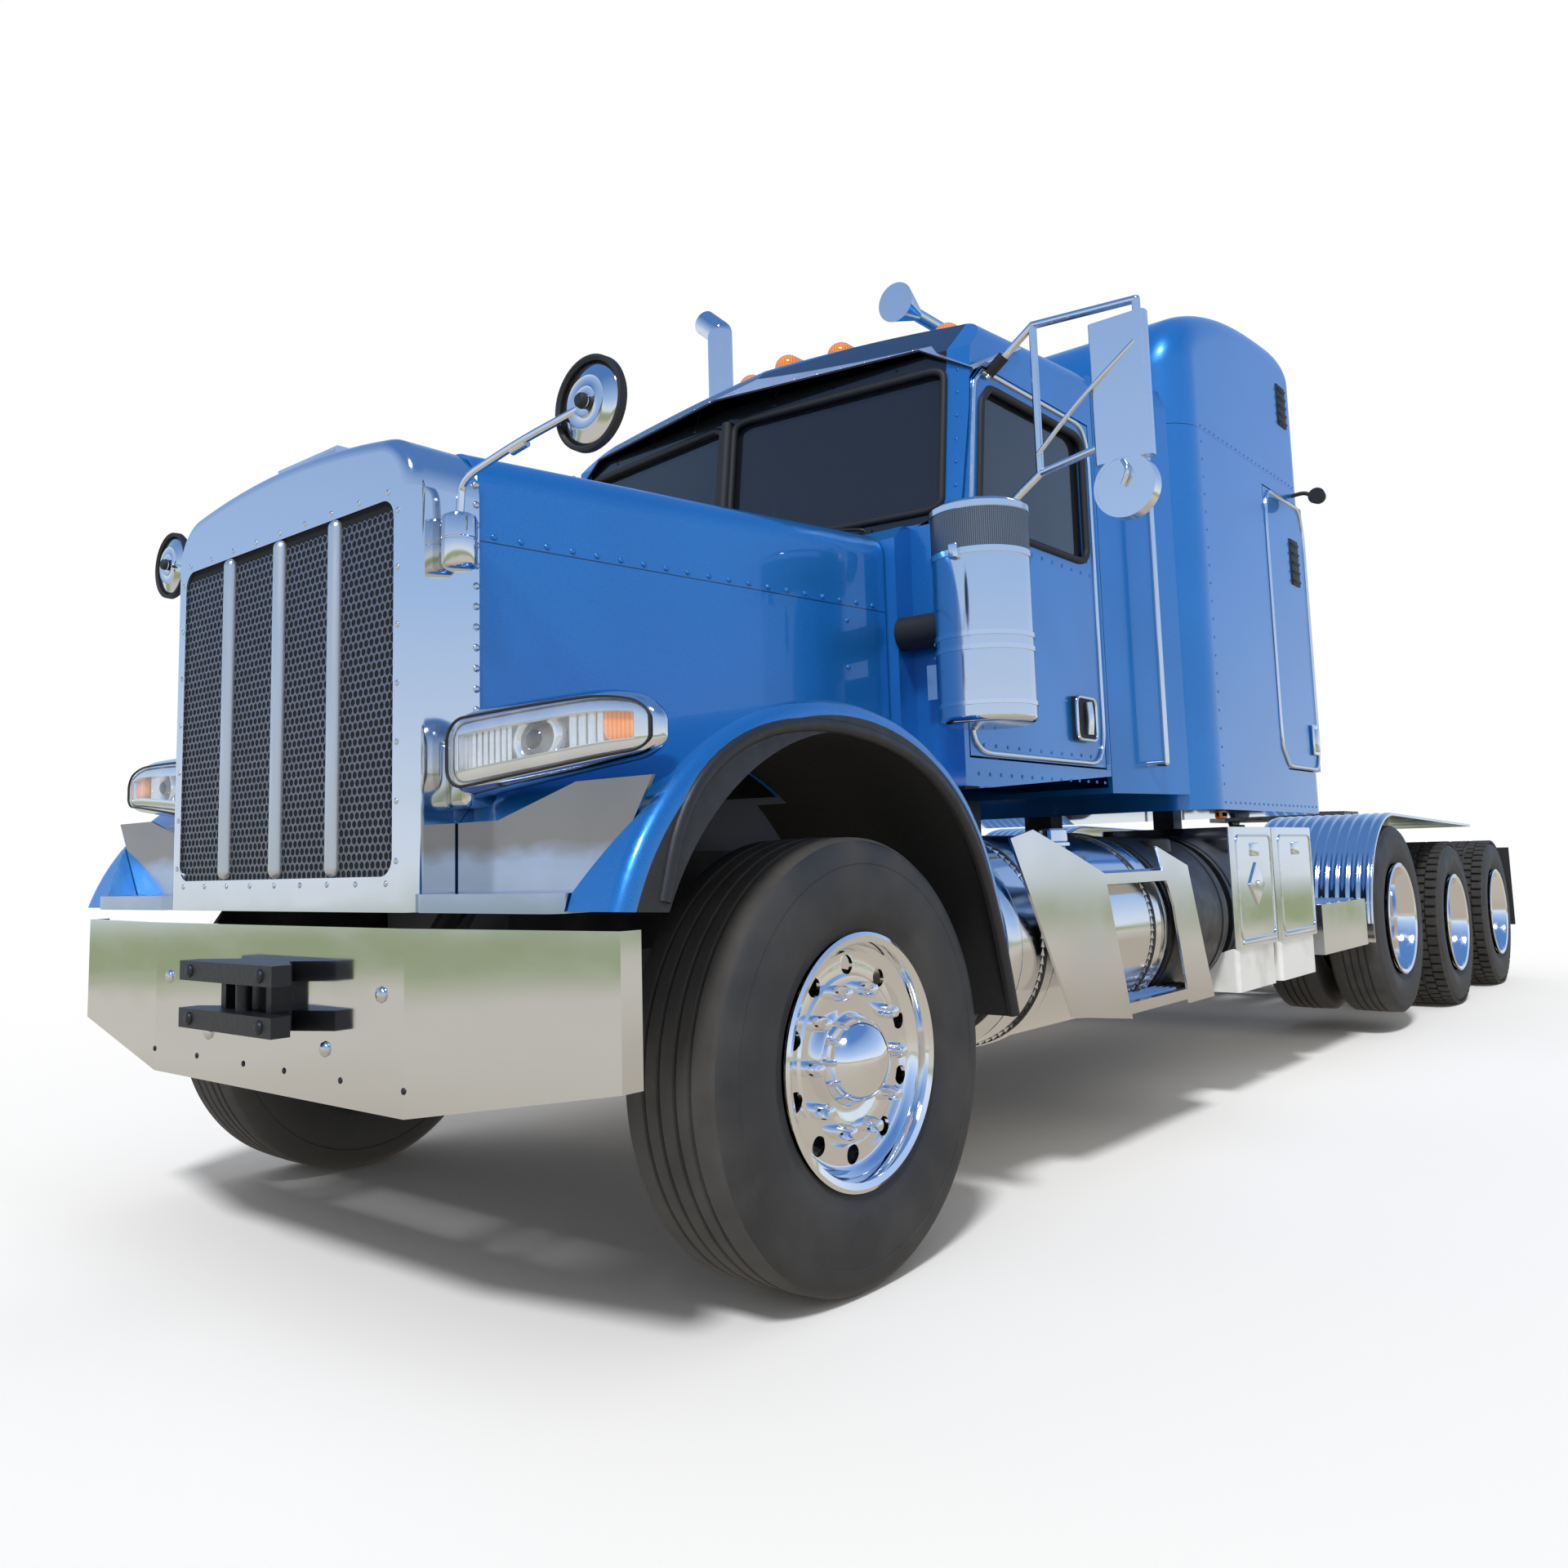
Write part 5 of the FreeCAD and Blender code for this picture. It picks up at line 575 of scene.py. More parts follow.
bpy.ops.transform.resize(value=(sqrt(3) / 2, 1, sqrt(3) / 2), center_override=middle)
leave()
repeated(sheet, 2, (pitch_x / 2, 0, row_step))
repeated(sheet, int((high.z - low.z - 0.03) / row_step / 2), (0, 0, 2 * row_step))
repeated(sheet, int((high.x - low.x - 0.03) / pitch_x), (pitch_x, 0, 0))
join("grille_sheet", [sheet], punched, "hood")
edge_x, edge_low, edge_high = 0.536, 0.977, 1.882
screws = [((-edge_x + 0.04, shell_face, z), (edge_x - 0.04, shell_face, z), 9) for z in (edge_low, edge_high)]
screws += [((x, shell_face, edge_low + 0.05), (x, shell_face, edge_high - 0.05), 7)
           for x in (-edge_x, edge_x)]
dome_row("grille_screws", screws, 0.0075, 0.0035, forward, bright_bolt, "hood")
side_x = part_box("grille_shell")[1].x
dome_row("shell_rivets", [(at(side_x, -0.664, 1.92), at(side_x, -0.664, 0.98), 20)], 0.0095, 0.006, (1, 0, 0),
         bright_bolt, "hood", True)

# Hood and fenders: riveted aluminium panels in metallic blue under clear coat. A lapped seam with
# dome rivets runs along each side; the wheel openings have satin black flares and liners.


def blue_paint(name, seam=None, dark=None):
    """Metallic blue; a seam is the height of a thin groove, and a dark mask makes it black, which serves both
    for black panels and for painted shade.
    """
    paint = Finish(name, (0.01, 0.11, 0.36), metallic=0.5, coat_weight=1.0, coat_roughness=0.03,
                   slot="body_paint", grain=((2.2, 2), 0.004, 0.12))
    flake = paint.noise(1400, 1)
    cloud = paint.noise(1.3, 2)
    color = paint.mix(flake.curve((0.35, 0), (0.65, 1)), (0.004, 0.115, 0.38), (0.018, 0.27, 0.74))
    color = paint.mix(cloud.curve((0.4, 0), (0.7, 0.25)), color, (0.003, 0.075, 0.28))
    if seam:
        near = paint.axis("Z") - seam
        color = paint.mix(((near * near) < 0.0000026) * 0.85, color, (0.0, 0.004, 0.02))
    # The dark mask's near black is the panels' own black in the wheel openings, and painted shade of the
    # visor round the screen.
    if dark:
        color = paint.mix(dark(paint), color, (0.006, 0.006, 0.007))
    paint.set("Base Color", color)
    paint.set("Roughness", flake.curve((0.3, 0.26), (0.7, 0.42)))
    return paint


def in_arch(paint):
    """Inside the round of the wheel opening, where the panels are black."""
    along, up = paint.axis("Y") - (AXLE_Y - 0.09), paint.axis("Z") - 0.66
    return (along * along + up * up) < 0.655 ** 2


def visor_shade_band(paint):
    """The band round the two panes and up to the visor's root, painted black as the visor's shade."""
    across, along, up = (paint.axis(letter) for letter in "XYZ")
    return (across * across < 0.886 ** 2) * (along < AXLE_Y + 1.30) * (up > 2.10) * (up < 2.90)


hood_paint = blue_paint("hood_paint", 1.787, in_arch)
body_paint = blue_paint("body_paint")
dress(["hood_shell"], hood_paint, 25)
flare_black = Finish("flare_black", (0.016, 0.016, 0.018), slot="black_plastic",
                     sheen=((25, 4), (0.3, 0.36), (0.7, 0.55)),
                     grain=((420, 2), 0.0004))
liner_black = Finish("liner_black", (0.008, 0.008, 0.008), 0.85, grain=((30, 4), 0.003))
dress(["fenders"], body_paint, 30)
outer_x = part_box("fenders")[1].x
hub = at(0, 0, 0.62)


def on_flare(spot, normal):
    return abs(spot.x) > outer_x - 0.002 and abs(normal.x) > 0.999


def on_liner(spot, normal):
    inward = normal.dot(Vector((0, hub.y - spot.y, hub.z - spot.z)))
    return inward > 0.05 and abs(normal.x) < 0.5


dress_faces("fenders", flare_black, on_flare)
dress_faces("fenders", liner_black, on_liner)


def rod(points, radius, round_share=0.35, closed=False, steps=6):
    """A round bar through points, each inner corner drawn as an arc that takes a share of its runs."""
    path = []
    count = len(points)
    for i, point in enumerate(points):
        point = Vector(point)
        if not closed and i in (0, count - 1):
            path.append(point)
            continue
        before, after = Vector(points[i - 1]), Vector(points[(i + 1) % count])
        start = point.lerp(before, round_share)
        end = point.lerp(after, round_share)
        for step in range(steps + 1):
            t = step / steps
            path.append(start.lerp(point, t).lerp(point.lerp(end, t), t))
    curve = bpy.data.curves.new("rod", "CURVE")
    curve.dimensions = "3D"
    curve.bevel_depth, curve.bevel_resolution, curve.use_fill_caps = radius, 3, True
    spline = curve.splines.new("POLY")
    spline.points.add(len(path) - 1)
    for knot, place in zip(spline.points, path):
        knot.co = (*place, 1)
    spline.use_cyclic_u = closed
    made = bpy.data.objects.new("rod", curve)
    bpy.context.collection.objects.link(made)
    choose(made)
    bpy.ops.object.convert(target="MESH")
    return bpy.context.object


def upright_line(x, spots):
    """Places at one x from (distance behind the axle, height)."""
    return [at(x, y, z) for y, z in spots]


arch = [(-0.700, 0.93), (-0.655, 1.09), (-0.56, 1.205), (-0.40, 1.288), (-0.20, 1.318), (0.0, 1.308),
        (0.18, 1.268), (0.33, 1.20), (0.45, 1.09), (0.545, 0.94), (0.61, 0.76), (0.66, 0.565)]
lip = rod(upright_line(outer_x - 0.006, arch), 0.017, 0.5, steps=4)
join("flare_lips", [lip], flare_black, "hood", 60, True)


def hood_side(y, z):
    """A place on the hood's left side, which runs out from front to rear."""
    return at(0.58 + 0.18 * (y + 0.655) / 1.455, y, z)


seams = [(hood_side(-0.61, 1.802), hood_side(0.74, 1.802), 19),
         (hood_side(0.62, 1.74), hood_side(0.62, 1.30), 4)]
dome_row("hood_rivets", seams, 0.0085, 0.005, (1, -0.124, 0), body_paint, "hood", True)
# The fender plates carry a painted reflection: warm brown above and blue-grey below, split by height along a
# noisy edge. The same noise also sets their roughness.
plate_steel = Finish("plate_steel", (0.5, 0.52, 0.58), metallic=1.0)
rough_and_reflection_noise = plate_steel.noise(5, 3, (1, 1, 2))
painted_reflection_split = (plate_steel.axis("Z") + rough_and_reflection_noise * 0.08).curve((1.06, 0), (1.10, 1))
plate_steel.tint(painted_reflection_split, (0.44, 0.50, 0.62), (0.30, 0.27, 0.24))
plate_steel.set("Roughness", rough_and_reflection_noise.curve((0.3, 0.06), (0.7, 0.2)))
dress(["fender_plates"], plate_steel)

# Headlamps: polished pods on arms beside the grille, their faces swept back and rising outward.
# Behind a clear lens sit a fluted reflector, a round projector and an amber indicator.
pod_start, pod_end = at(0.606, -0.788, 0), at(1.236, -0.704, 0)
pod_turn = atan2(pod_end.y - pod_start.y, pod_end.x - pod_start.x)
pod_length = (pod_end - pod_start).length
pod_low, pod_high, pod_deep = 1.150, 1.376, 0.165
pod_tall, pod_mid = pod_high - pod_low, (pod_low + pod_high) / 2
clear_lens = Finish("clear_lens", (0.9, 0.93, 0.96), slot="glass", roughness=0.03, coat_weight=1.0)
clear_lens.set("Alpha", clear_lens.noise(12, 3).curve((0.4, 0.10), (0.7, 0.20)))
amber_lens = Finish("amber_lens", (0.9, 0.28, 0.015), slot="amber_lens", roughness=0.12, coat_weight=0.8)
facets = (amber_lens.axis("X") + amber_lens.axis("Y") * 0.6).wrap(0.012)
amber_lens.tint(facets, (0.75, 0.17, 0.008), (1.0, 0.38, 0.03))
amber_lens.bump(facets, 0.001, 0.6)
reflector = Finish("reflector", (0.82, 0.84, 0.86), slot="polished_steel", roughness=0.14, metallic=0.9)
reflector.bump(reflector.axis("Z").wrap(0.02), 0.0015, 0.5)
rubber_black = Finish("rubber_black", (0.014, 0.014, 0.014), 0.6, slot="black_plastic",
                      grain=((200, 2), 0.0005))
dark_glass = Finish("dark_glass", (0.012, 0.014, 0.017), slot="glass",
                    sheen=((8, 2), (0.3, 0.015), (0.7, 0.05)),
                    coat_weight=0.5)


def slant(x, z):
    """The pod narrows outward: its foot rises all the way and its top bows down to both ends."""
    share = min(max(x / pod_length, 0), 1)
    foot = pod_low + 0.072 * share
    inward = max(1 - share * 1.5, 0)
    outward = max(share * 3 - 2, 0)
    top = pod_high - 0.012 * inward ** 2 - 0.048 * outward ** 2
    return foot + (z - pod_low) / pod_tall * (top - foot)


def to_pod(piece):
    """From the pod's own axes (x along its face, y into it) to its place on the truck."""
    for point in piece.data.vertices:
        point.co.z = slant(point.co.x, point.co.z)
    place = Matrix.Translation((pod_start.x, pod_start.y, 0)) @ Matrix.Rotation(pod_turn, 4, "Z")
    piece.matrix_world = place @ piece.matrix_world
    choose(piece)
    bpy.ops.object.transform_apply()
    return piece


def pick(piece, sort, wanted):
    """Enters edit mode with the edges or faces that pass selected."""
    mesh = piece.data
    for group in (mesh.vertices, mesh.edges, mesh.polygons):
        for item in group:
            item.select = False
    for item in mesh.edges if sort == "EDGE" else mesh.polygons:
        item.select = wanted(item)
    bpy.ops.object.mode_set(mode="EDIT")
    bpy.ops.mesh.select_mode(type=sort)


def rounded_block(size, place, corner, edge=0, cuts=0):
    """A block whose corners seen from the front are rounded, then its rims softened."""
    piece = shape(bpy.ops.mesh.primitive_cube_add, size=1, location=place, scale=size)

    def run(line, axis):
        """How far an edge reaches along an axis."""
        a, b = (piece.data.vertices[i].co[axis] for i in line.vertices)
        return abs(a - b)

    pick(piece, "EDGE", lambda line: run(line, 1) > size[1] * 0.9)
    bpy.ops.mesh.bevel(offset=corner, segments=8)
    leave()
    if cuts:
        pick(piece, "EDGE", lambda line: run(line, 0) > size[0] * 0.5)
        bpy.ops.mesh.subdivide(number_cuts=cuts)
        leave()
    if edge:
        worked(piece, "BEVEL", width=edge, segments=4, limit_method="ANGLE", angle_limit=radians(50))
    return piece


def front_faces(piece, y):
    """Enters edit mode with the faces that look forward at y selected."""
    pick(piece, "FACE", lambda face: face.normal.y < -0.95 and abs(face.center.y - y) < 0.002)


pod = rounded_block((pod_length, pod_deep, pod_tall), (pod_length / 2, pod_deep / 2, pod_mid), 0.078,
                    0.024, 11)
front_faces(pod, 0)
for rim_width, sink in ((0.006, 0.012), (0.003, 0.060)):
    bpy.ops.mesh.inset(thickness=rim_width)
    bpy.ops.mesh.extrude_region_move(TRANSFORM_OT_translate={"value": (0, sink, 0)})
leave()
for point in pod.data.vertices:
    back = min(max(point.co.y / pod_deep, 0), 1)
    taper = 1 - 0.5 * point.co.x / pod_length
    point.co.x = pod_length / 2 + (point.co.x - pod_length / 2) * (1 - 0.16 * back ** 2)
    point.co.z = pod_mid + (point.co.z - pod_mid) * (1 - 0.26 * back ** 2)
    point.co.y *= taper
to_pod(pod)
arm = bar((0.072, 0.092, 0.155), at(0.625, -0.700, 1.219), 0.018)
pods = join("lamp_pods", [pod, arm], steel_polish, "hood", 40, True)
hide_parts("headlights")
lens = rounded_block((pod_length - 0.064, 0.010, pod_tall - 0.064), (pod_length / 2, 0.009, pod_mid), 0.056,
                     cuts=11)
front_faces(lens, 0.004)
bpy.ops.mesh.inset(thickness=0.03)
bpy.ops.transform.translate(value=(0, -0.004, 0))
leave()
join("lamp_lenses", [to_pod(lens)], clear_lens, "hood", 50, True)
half_wide, half_high, turn_r = pod_length / 2 - 0.030, pod_tall / 2 - 0.030, 0.052
run = half_wide - turn_r
loop = []
for (sx, sz), start in (((-1, -1), pi), ((1, -1), 1.5 * pi), ((1, 1), 0), ((-1, 1), 0.5 * pi)):
    for k in range(9):
        turn = start + k * pi / 16
        loop.append((pod_length / 2 + sx * run + turn_r * cos(turn), 0.003,
                     pod_mid + sz * (half_high - turn_r) + turn_r * sin(turn)))
    if sx == sz:
        loop += [(pod_length / 2 + sz * run * (1 - i / 6), 0.003, pod_mid + sz * half_high)
                 for i in range(1, 12)]
seal = to_pod(rod(loop, 0.0038, 0.3, closed=True, steps=1))
join("lamp_seals", [seal], rubber_black, "hood", 60, True)


def flute(radius, depth, place, flatten=1):
    """An upright rib of the reflector."""
    return shape(bpy.ops.mesh.primitive_cylinder_add, vertices=12, radius=radius, depth=depth, location=place,
                 scale=(flatten, flatten, 1))


eye_x = 0.282
inner = [flute(0.0095, 0.135, (0.062 + i * 0.0185, 0.04, pod_mid - 0.004), 0.8) for i in range(8)]
inner.append(shape(bpy.ops.mesh.primitive_torus_add, major_radius=0.058, minor_radius=0.014,
                   major_segments=40, minor_segments=10, location=(eye_x, 0.033, pod_mid),
                   rotation=(pi / 2, 0, 0)))
inner.append(shape(bpy.ops.mesh.primitive_cone_add, vertices=40, radius1=0.056, radius2=0.032, depth=0.03,
                   end_fill_type="NOTHING", location=(eye_x, 0.045, pod_mid), rotation=(-pi / 2, 0, 0)))
inner += [flute(0.012, 0.120, (0.375 + i * 0.026, 0.04, pod_mid)) for i in range(4)]
join("lamp_reflectors", [to_pod(part) for part in inner], reflector, "hood", 40, True)
eye = shape(bpy.ops.mesh.primitive_uv_sphere_add, segments=32, ring_count=16, radius=0.036,
            location=(eye_x, 0.04, pod_mid), rotation=(pi / 2, 0, 0))
join("lamp_eyes", [to_pod(eye)], dark_glass, "hood", 60, True)
amber = to_pod(rounded_block((0.105, 0.045, 0.115), (0.522, 0.036, pod_mid + 0.008), 0.040, 0.014))
join("indicator_lamps", [amber], amber_lens, "hood", 50, True)

# Hood mirrors: shallow spun bowls in black rings, on bent stalks that rise out of small cans on the
# sides of the grille shell; each stalk has a collar halfway and each bowl a black hub.
trim_steel = Finish("trim_steel", (0.80, 0.81, 0.82), slot="polished_steel", metallic=1.0,
                    sheen=((60, 2), (0.3, 0.08), (0.7, 0.2)))
mirror_glass = Finish("mirror_glass", (0.75, 0.77, 0.80), slot="glass", metallic=1.0,
                      sheen=((3, 2), (0.3, 0.01), (0.7, 0.04)))
turns = {"X": Matrix.Identity(4), "Y": Matrix.Rotation(-pi / 2, 4, "Z"),
         "Z": Matrix.Rotation(-pi / 2, 4, "Y")}


def turned(profile, steps, place, axis):
    """A profile of (along, radius) spun round X, then set at its place with its start to +X, -Y or +Z."""
    piece = spun(profile, steps)
    piece.data.transform(Matrix.Translation(place) @ turns[axis])
    return piece


def hoop(inside, outside, half):
    """The closed section of a band round an axis."""
    return [(-half, inside), (-half, outside), (half, outside), (half, inside), (-half, inside)]


bowl_place = at(1.005, -0.674, 2.007)
stalk_bend = at(0.64, -0.743, 1.904)
bowl = turned([(0.026, 0), (0.026, 0.013), (0.017, 0.017), (0.0145, 0.030), (0.0160, 0.034),
               (0.0140, 0.038), (0.012, 0.055), (0.0135, 0.059), (0.0110, 0.063), (0.004, 0.084),
               (-0.006, 0.097), (-0.012, 0.099), (-0.012, 0)], 56, bowl_place, "Y")
stalk = rod([at(0.630, -0.743, 1.80), stalk_bend, at(0.82, -0.716, 1.957), bowl_place], 0.0095, 0.3)
collar_run = bowl_place - stalk_bend
choose()
bpy.ops.mesh.primitive_cylinder_add(vertices=20, radius=0.014, depth=0.045,
                                    location=stalk_bend + collar_run * 0.46)
collar = bpy.context.object
collar.rotation_mode = "QUATERNION"
collar.rotation_quaternion = collar_run.to_track_quat("Z", "Y")
bpy.ops.object.transform_apply()
can = turned([(0.067, 0), (0.067, 0.030), (0.062, 0.038), (0.052, 0.0415), (0.010, 0.0415),
              (0.008, 0.0395), (0.004, 0.0395), (0.002, 0.0415), (-0.052, 0.0415), (-0.060, 0.036),
              (-0.063, 0.028), (-0.063, 0)], 40, at(0.6303, -0.743, 1.755), "Z")
bowls = join("hood_mirror_bowls", [bowl, stalk, collar, can], steel_polish, "hood", 35, True)
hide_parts("hood_mirrors")
ring_band = turned([(0.004, 0.094), (0.009, 0.100), (0.007, 0.1065), (-0.010, 0.1072), (-0.0155, 0.103),
                    (-0.0155, 0.090), (-0.011, 0.090), (-0.011, 0.096), (0.004, 0.094)], 56, bowl_place, "Y")
knob = turned([(0.034, 0), (0.034, 0.012), (0.030, 0.016), (0.020, 0.018), (0.020, 0)], 24, bowl_place, "Y")
join("hood_mirror_rings", [ring_band, knob], rubber_black, "hood", 35, True)
pane = turned([(-0.0125, 0), (-0.0125, 0.0925), (-0.0145, 0.0925), (-0.0148, 0)], 48, bowl_place, "Y")
join("hood_mirror_panes", [pane], mirror_glass, "hood", 35, True)

# Cab: riveted panels in the same blue, bright door trims, black window rubbers and dark tinted glass.
# The screen has two swept panes with a slim black post; wipers are parked at its foot.
# The band round the screen up to the visor's root is painted black, as painted shade of the visor.
cab_paint = blue_paint("cab_paint", dark=visor_shade_band)
dress(["cab_shell", "sleeper_fairing", "door_left", "door_right"], cab_paint, 30)
tinted = Finish("tinted_glass", (0.012, 0.014, 0.018), roughness=0.02, coat_weight=0.6)
tinted.set("Alpha", tinted.noise(1.5, 2).curve((0.3, 0.80), (0.7, 0.88)))
dress(["windshield", "door_glass_left", "door_glass_right"], tinted)
fabric = Finish("seat_fabric", (0.10, 0.10, 0.11), 0.85, grain=((240, 3), 0.002))
dress(["cab_interior"], fabric)
dress_faces("sleeper_fairing", trim_steel,
            lambda spot, _: abs(spot.y - AXLE_Y - 2.190) < 0.0135 and spot.x > 1.024)
for side, word in sides:
    dress_faces(f"door_{word}", rubber_black,
                lambda spot, _: (abs(spot.x) > 0.9715 and 1.64 < spot.y - AXLE_Y < 1.82
                                 and 1.40 < spot.z < 1.58))


def screen(x, z, stand=0.0):
    """A place on the swept and raked screen."""
    return at(x, 0.860 + 0.1196 * abs(x) + 0.12 * (z - 2.075) - stand, z)


frames = []
for side, _ in sides:
    pane_edge = [screen(side * x, z, 0.003)
                 for x, z in ((0.030, 2.14), (0.88, 2.14), (0.88, 2.635), (0.030, 2.635))]
    frames.append(rod(pane_edge, 0.013, 0.08, closed=True))
frames.append(rod([screen(0, 2.13, 0.004), screen(0, 2.64, 0.004)], 0.024))
join("screen_rubbers", frames, rubber_black, "chassis", 60)
wipers = []
for side, _ in sides:
    wipers.append(rod([screen(side * 0.62, 2.095, 0.012), screen(side * 0.60, 2.115, 0.030),
                       screen(side * 0.16, 2.165, 0.022)], 0.006, 0.3))
    wipers.append(rod([screen(side * 0.40, 2.150, 0.016), screen(side * 0.04, 2.185, 0.016)], 0.007))
    wipers.append(shape(bpy.ops.mesh.primitive_cylinder_add, vertices=20, radius=0.020, depth=0.03,
                        rotation=(radians(70), 0, 0), location=screen(side * 0.62, 2.095, 0.010)))
join("wipers", wipers, black_cast, "chassis", 40)
face_x = 0.970
door_line = [(0.947, 1.330), (1.903, 1.330), (1.903, 2.628), (1.112, 2.628), (1.056, 2.572), (1.002, 2.150),
             (0.947, 2.026)]
window_line = [(1.050, 2.088), (1.855, 2.088), (1.855, 2.580), (1.167, 2.580), (1.105, 2.518)]
handle_line = [(1.655, 1.411), (1.810, 1.411), (1.810, 1.566), (1.655, 1.566)]
pull_line = [(0.008, 1.43), (0.014, 1.488), (0.008, 1.546)]
for side, word in sides:
    body = f"door_{word}"
    trim = rod(upright_line(side * (face_x + 0.003), door_line), 0.009, 0.12, closed=True)
    join(f"door_trim_{word}", [trim], trim_steel, body, 60)
    rubber = rod(upright_line(side * face_x, window_line), 0.014, 0.12, closed=True)
    join(f"window_rubber_{word}", [rubber], rubber_black, body, 60)
    rows = [(at(side * face_x, 1.03, 2.045), at(side * face_x, 1.87, 2.045), 12),
            (at(side * face_x, 1.02, 1.355), at(side * face_x, 1.87, 1.355), 12)]
    dome_row(f"door_rivets_{word}", rows, 0.0065, 0.004, (side, 0, 0), cab_paint, body)
    frame_x = side * (face_x + 0.020)
    surround = rod(upright_line(frame_x, handle_line), 0.007, 0.2, closed=True)
    pull = rod([at(frame_x + side * x, 1.732, z) for x, z in pull_line], 0.016, 0.4)
    join(f"door_handle_{word}", [surround, pull], trim_steel, body, 60)
dome_row("cab_foot_rivets", [(at(face_x, 0.98, 1.262), at(face_x, 1.90, 1.262), 14)], 0.0065, 0.004,
         (1, 0, 0), cab_paint, "chassis", True)
dome_row("cab_post_rivets", [(screen(0.928, 2.13), screen(0.928, 2.62), 7)], 0.0065, 0.004,
         (0.12, -0.98, 0.12), cab_paint, "chassis", True)

# Visor, roof lamps and horn: a polished peak with a black underside on small brackets, five amber
# bullet lamps in bright housings behind it, and one trumpet.
dress(["air_horn", "exhaust_stack"], steel_polish, 40)
visor_steel = Finish("visor_steel", (0.80, 0.80, 0.81), metallic=0.85,
                     sheen=((6, 3), (0.3, 0.22), (0.7, 0.38)))
dress(["sun_visor"], visor_steel, 30)
dress_faces("sun_visor", rubber_black, lambda _, normal: normal.z < -0.3)


def visor(x, share, stand=0.0):
    """A place on the visor's top: share 0 is at its tip and 1 at its root."""
    y = 0.850 + 0.1875 * abs(x) + 0.345 * share - stand * 0.52
    return at(x, y, 2.715 + (0.210 - 0.074 * (x / 0.985) ** 2) * share + stand * 0.85)


visor_rows = [(visor(side * 0.05, share), visor(side * 0.77, share), 9) for side in (1, -1)
              for share in (0.90, 0.05)]
dome_row("visor_rivets", visor_rows, 0.006, 0.004, (0, -0.52, 0.85), bright_bolt, "chassis")
stays = [rod([screen(x, 2.668), visor(x, 0.30, -0.006)], 0.006)
         for x in (-0.70, -0.45, -0.2, 0.2, 0.45, 0.70)]
join("visor_stays", stays, bright_bolt, "chassis", 60)
dress(["roof_lamps"], amber_lens, 40)


def on_housing(spot, _):
    """The rear of each bullet lamp and its foot."""
    x = min((-0.665, -0.23, 0.0, 0.23, 0.665), key=lambda place: abs(place - spot.x))
    local_y = spot.y - (AXLE_Y + 1.300 + 0.1875 * abs(x))
    base = 2.915 + 0.055 - 0.074 * (x / 0.970) ** 2
    return local_y > 0.075 or spot.z < base - 0.022


dress_faces("roof_lamps", trim_steel, on_housing)

# Sleeper: seams and rows of rivets, a bright trim round each luggage door, louvres, a lever handle,
# a small work light near the top of the rear edge and amber side lamps under the front edge.
sleeper_paint = blue_paint("sleeper_paint", 2.775)
dress(["sleeper_shell", "luggage_door_left", "luggage_door_right"], sleeper_paint, 40)
side_face = 1.150
rows = [(at(side_face, 2.64, 2.790), at(side_face, 3.87, 2.790), 24),
        (at(side_face, 2.64, 1.195), at(side_face, 3.87, 1.195), 22),
        (at(side_face, 2.640, 1.27), at(side_face, 2.640, 2.72), 20)]
dome_row("sleeper_rivets", rows, 0.0055, 0.0035, (1, 0, 0), sleeper_paint, "chassis", True)
dome_row("sleeper_front_rivets", [(at(1.088, 2.520, 1.32), at(1.088, 2.520, 2.72), 18)], 0.0055, 0.0035,
         (0.8, -0.6, 0), sleeper_paint, "chassis", True)
hatch_line = [(3.415, 1.470), (3.500, 1.380), (3.975, 1.380), (3.975, 2.690), (3.415, 2.690)]
louvre_black = Finish("louvre_black", (0.006, 0.006, 0.008), 0.5, slot="black_plastic",
                      grain=((120, 2), 0.0004))


def louvre(name, side, y0, y1, z0, z1, body):
    """Raised slats in a shallow frame."""
    x, y = side * side_face, (y0 + y1) / 2
    parts = [bar((0.012, y1 - y0, z1 - z0), at(x, y, (z0 + z1) / 2), 0.004)]
    for i in range(5):
        place = at(x, y, z0 + (z1 - z0) * (i + 0.5) / 5)
        parts.append(bar((0.026, (y1 - y0) * 0.86, 0.016), place, 0.003, (0, side * radians(35), 0)))
    join(name, parts, louvre_black, body, 35)


for side, word in sides:
    body = f"luggage_door_{word}"
    trim = rod(upright_line(side * (side_face + 0.002), hatch_line), 0.009, 0.16, closed=True)
    join(f"luggage_trim_{word}", [trim], trim_steel, body, 60)
    louvre(f"luggage_louvre_{word}", side, 3.75, 3.87, 2.28, 2.51, body)
    louvre(f"sleeper_louvre_{word}", side, 3.72, 3.84, 3.08, 3.29, "chassis")
    lever_x = side * (side_face + 0.010)
    lever = [bar((0.010, 0.085, 0.150), at(lever_x, 3.905, 1.523), 0.004),
             bar((0.016, 0.024, 0.120), at(lever_x + side * 0.010, 3.905, 1.523), 0.006)]
    join(f"luggage_handle_{word}", lever, trim_steel, body, 40)
light_arm = rod([at(1.140, 3.86, 2.745), at(1.205, 3.86, 2.750), at(1.235, 3.87, 2.735)], 0.010, 0.4)
light_head = turned([(-0.032, 0), (-0.032, 0.022), (-0.022, 0.034), (0.020, 0.040), (0.028, 0.036),
                     (0.028, 0)], 32, at(1.262, 3.885, 2.725), "Y")
join("work_lights", [light_arm, light_head], rubber_black, "chassis", 40, True)
side_lamp = bar((0.030, 0.075, 0.036), at(1.120, 2.66, 1.146), 0.010)
join("side_lamps", [side_lamp], amber_lens, "chassis", 40, True)

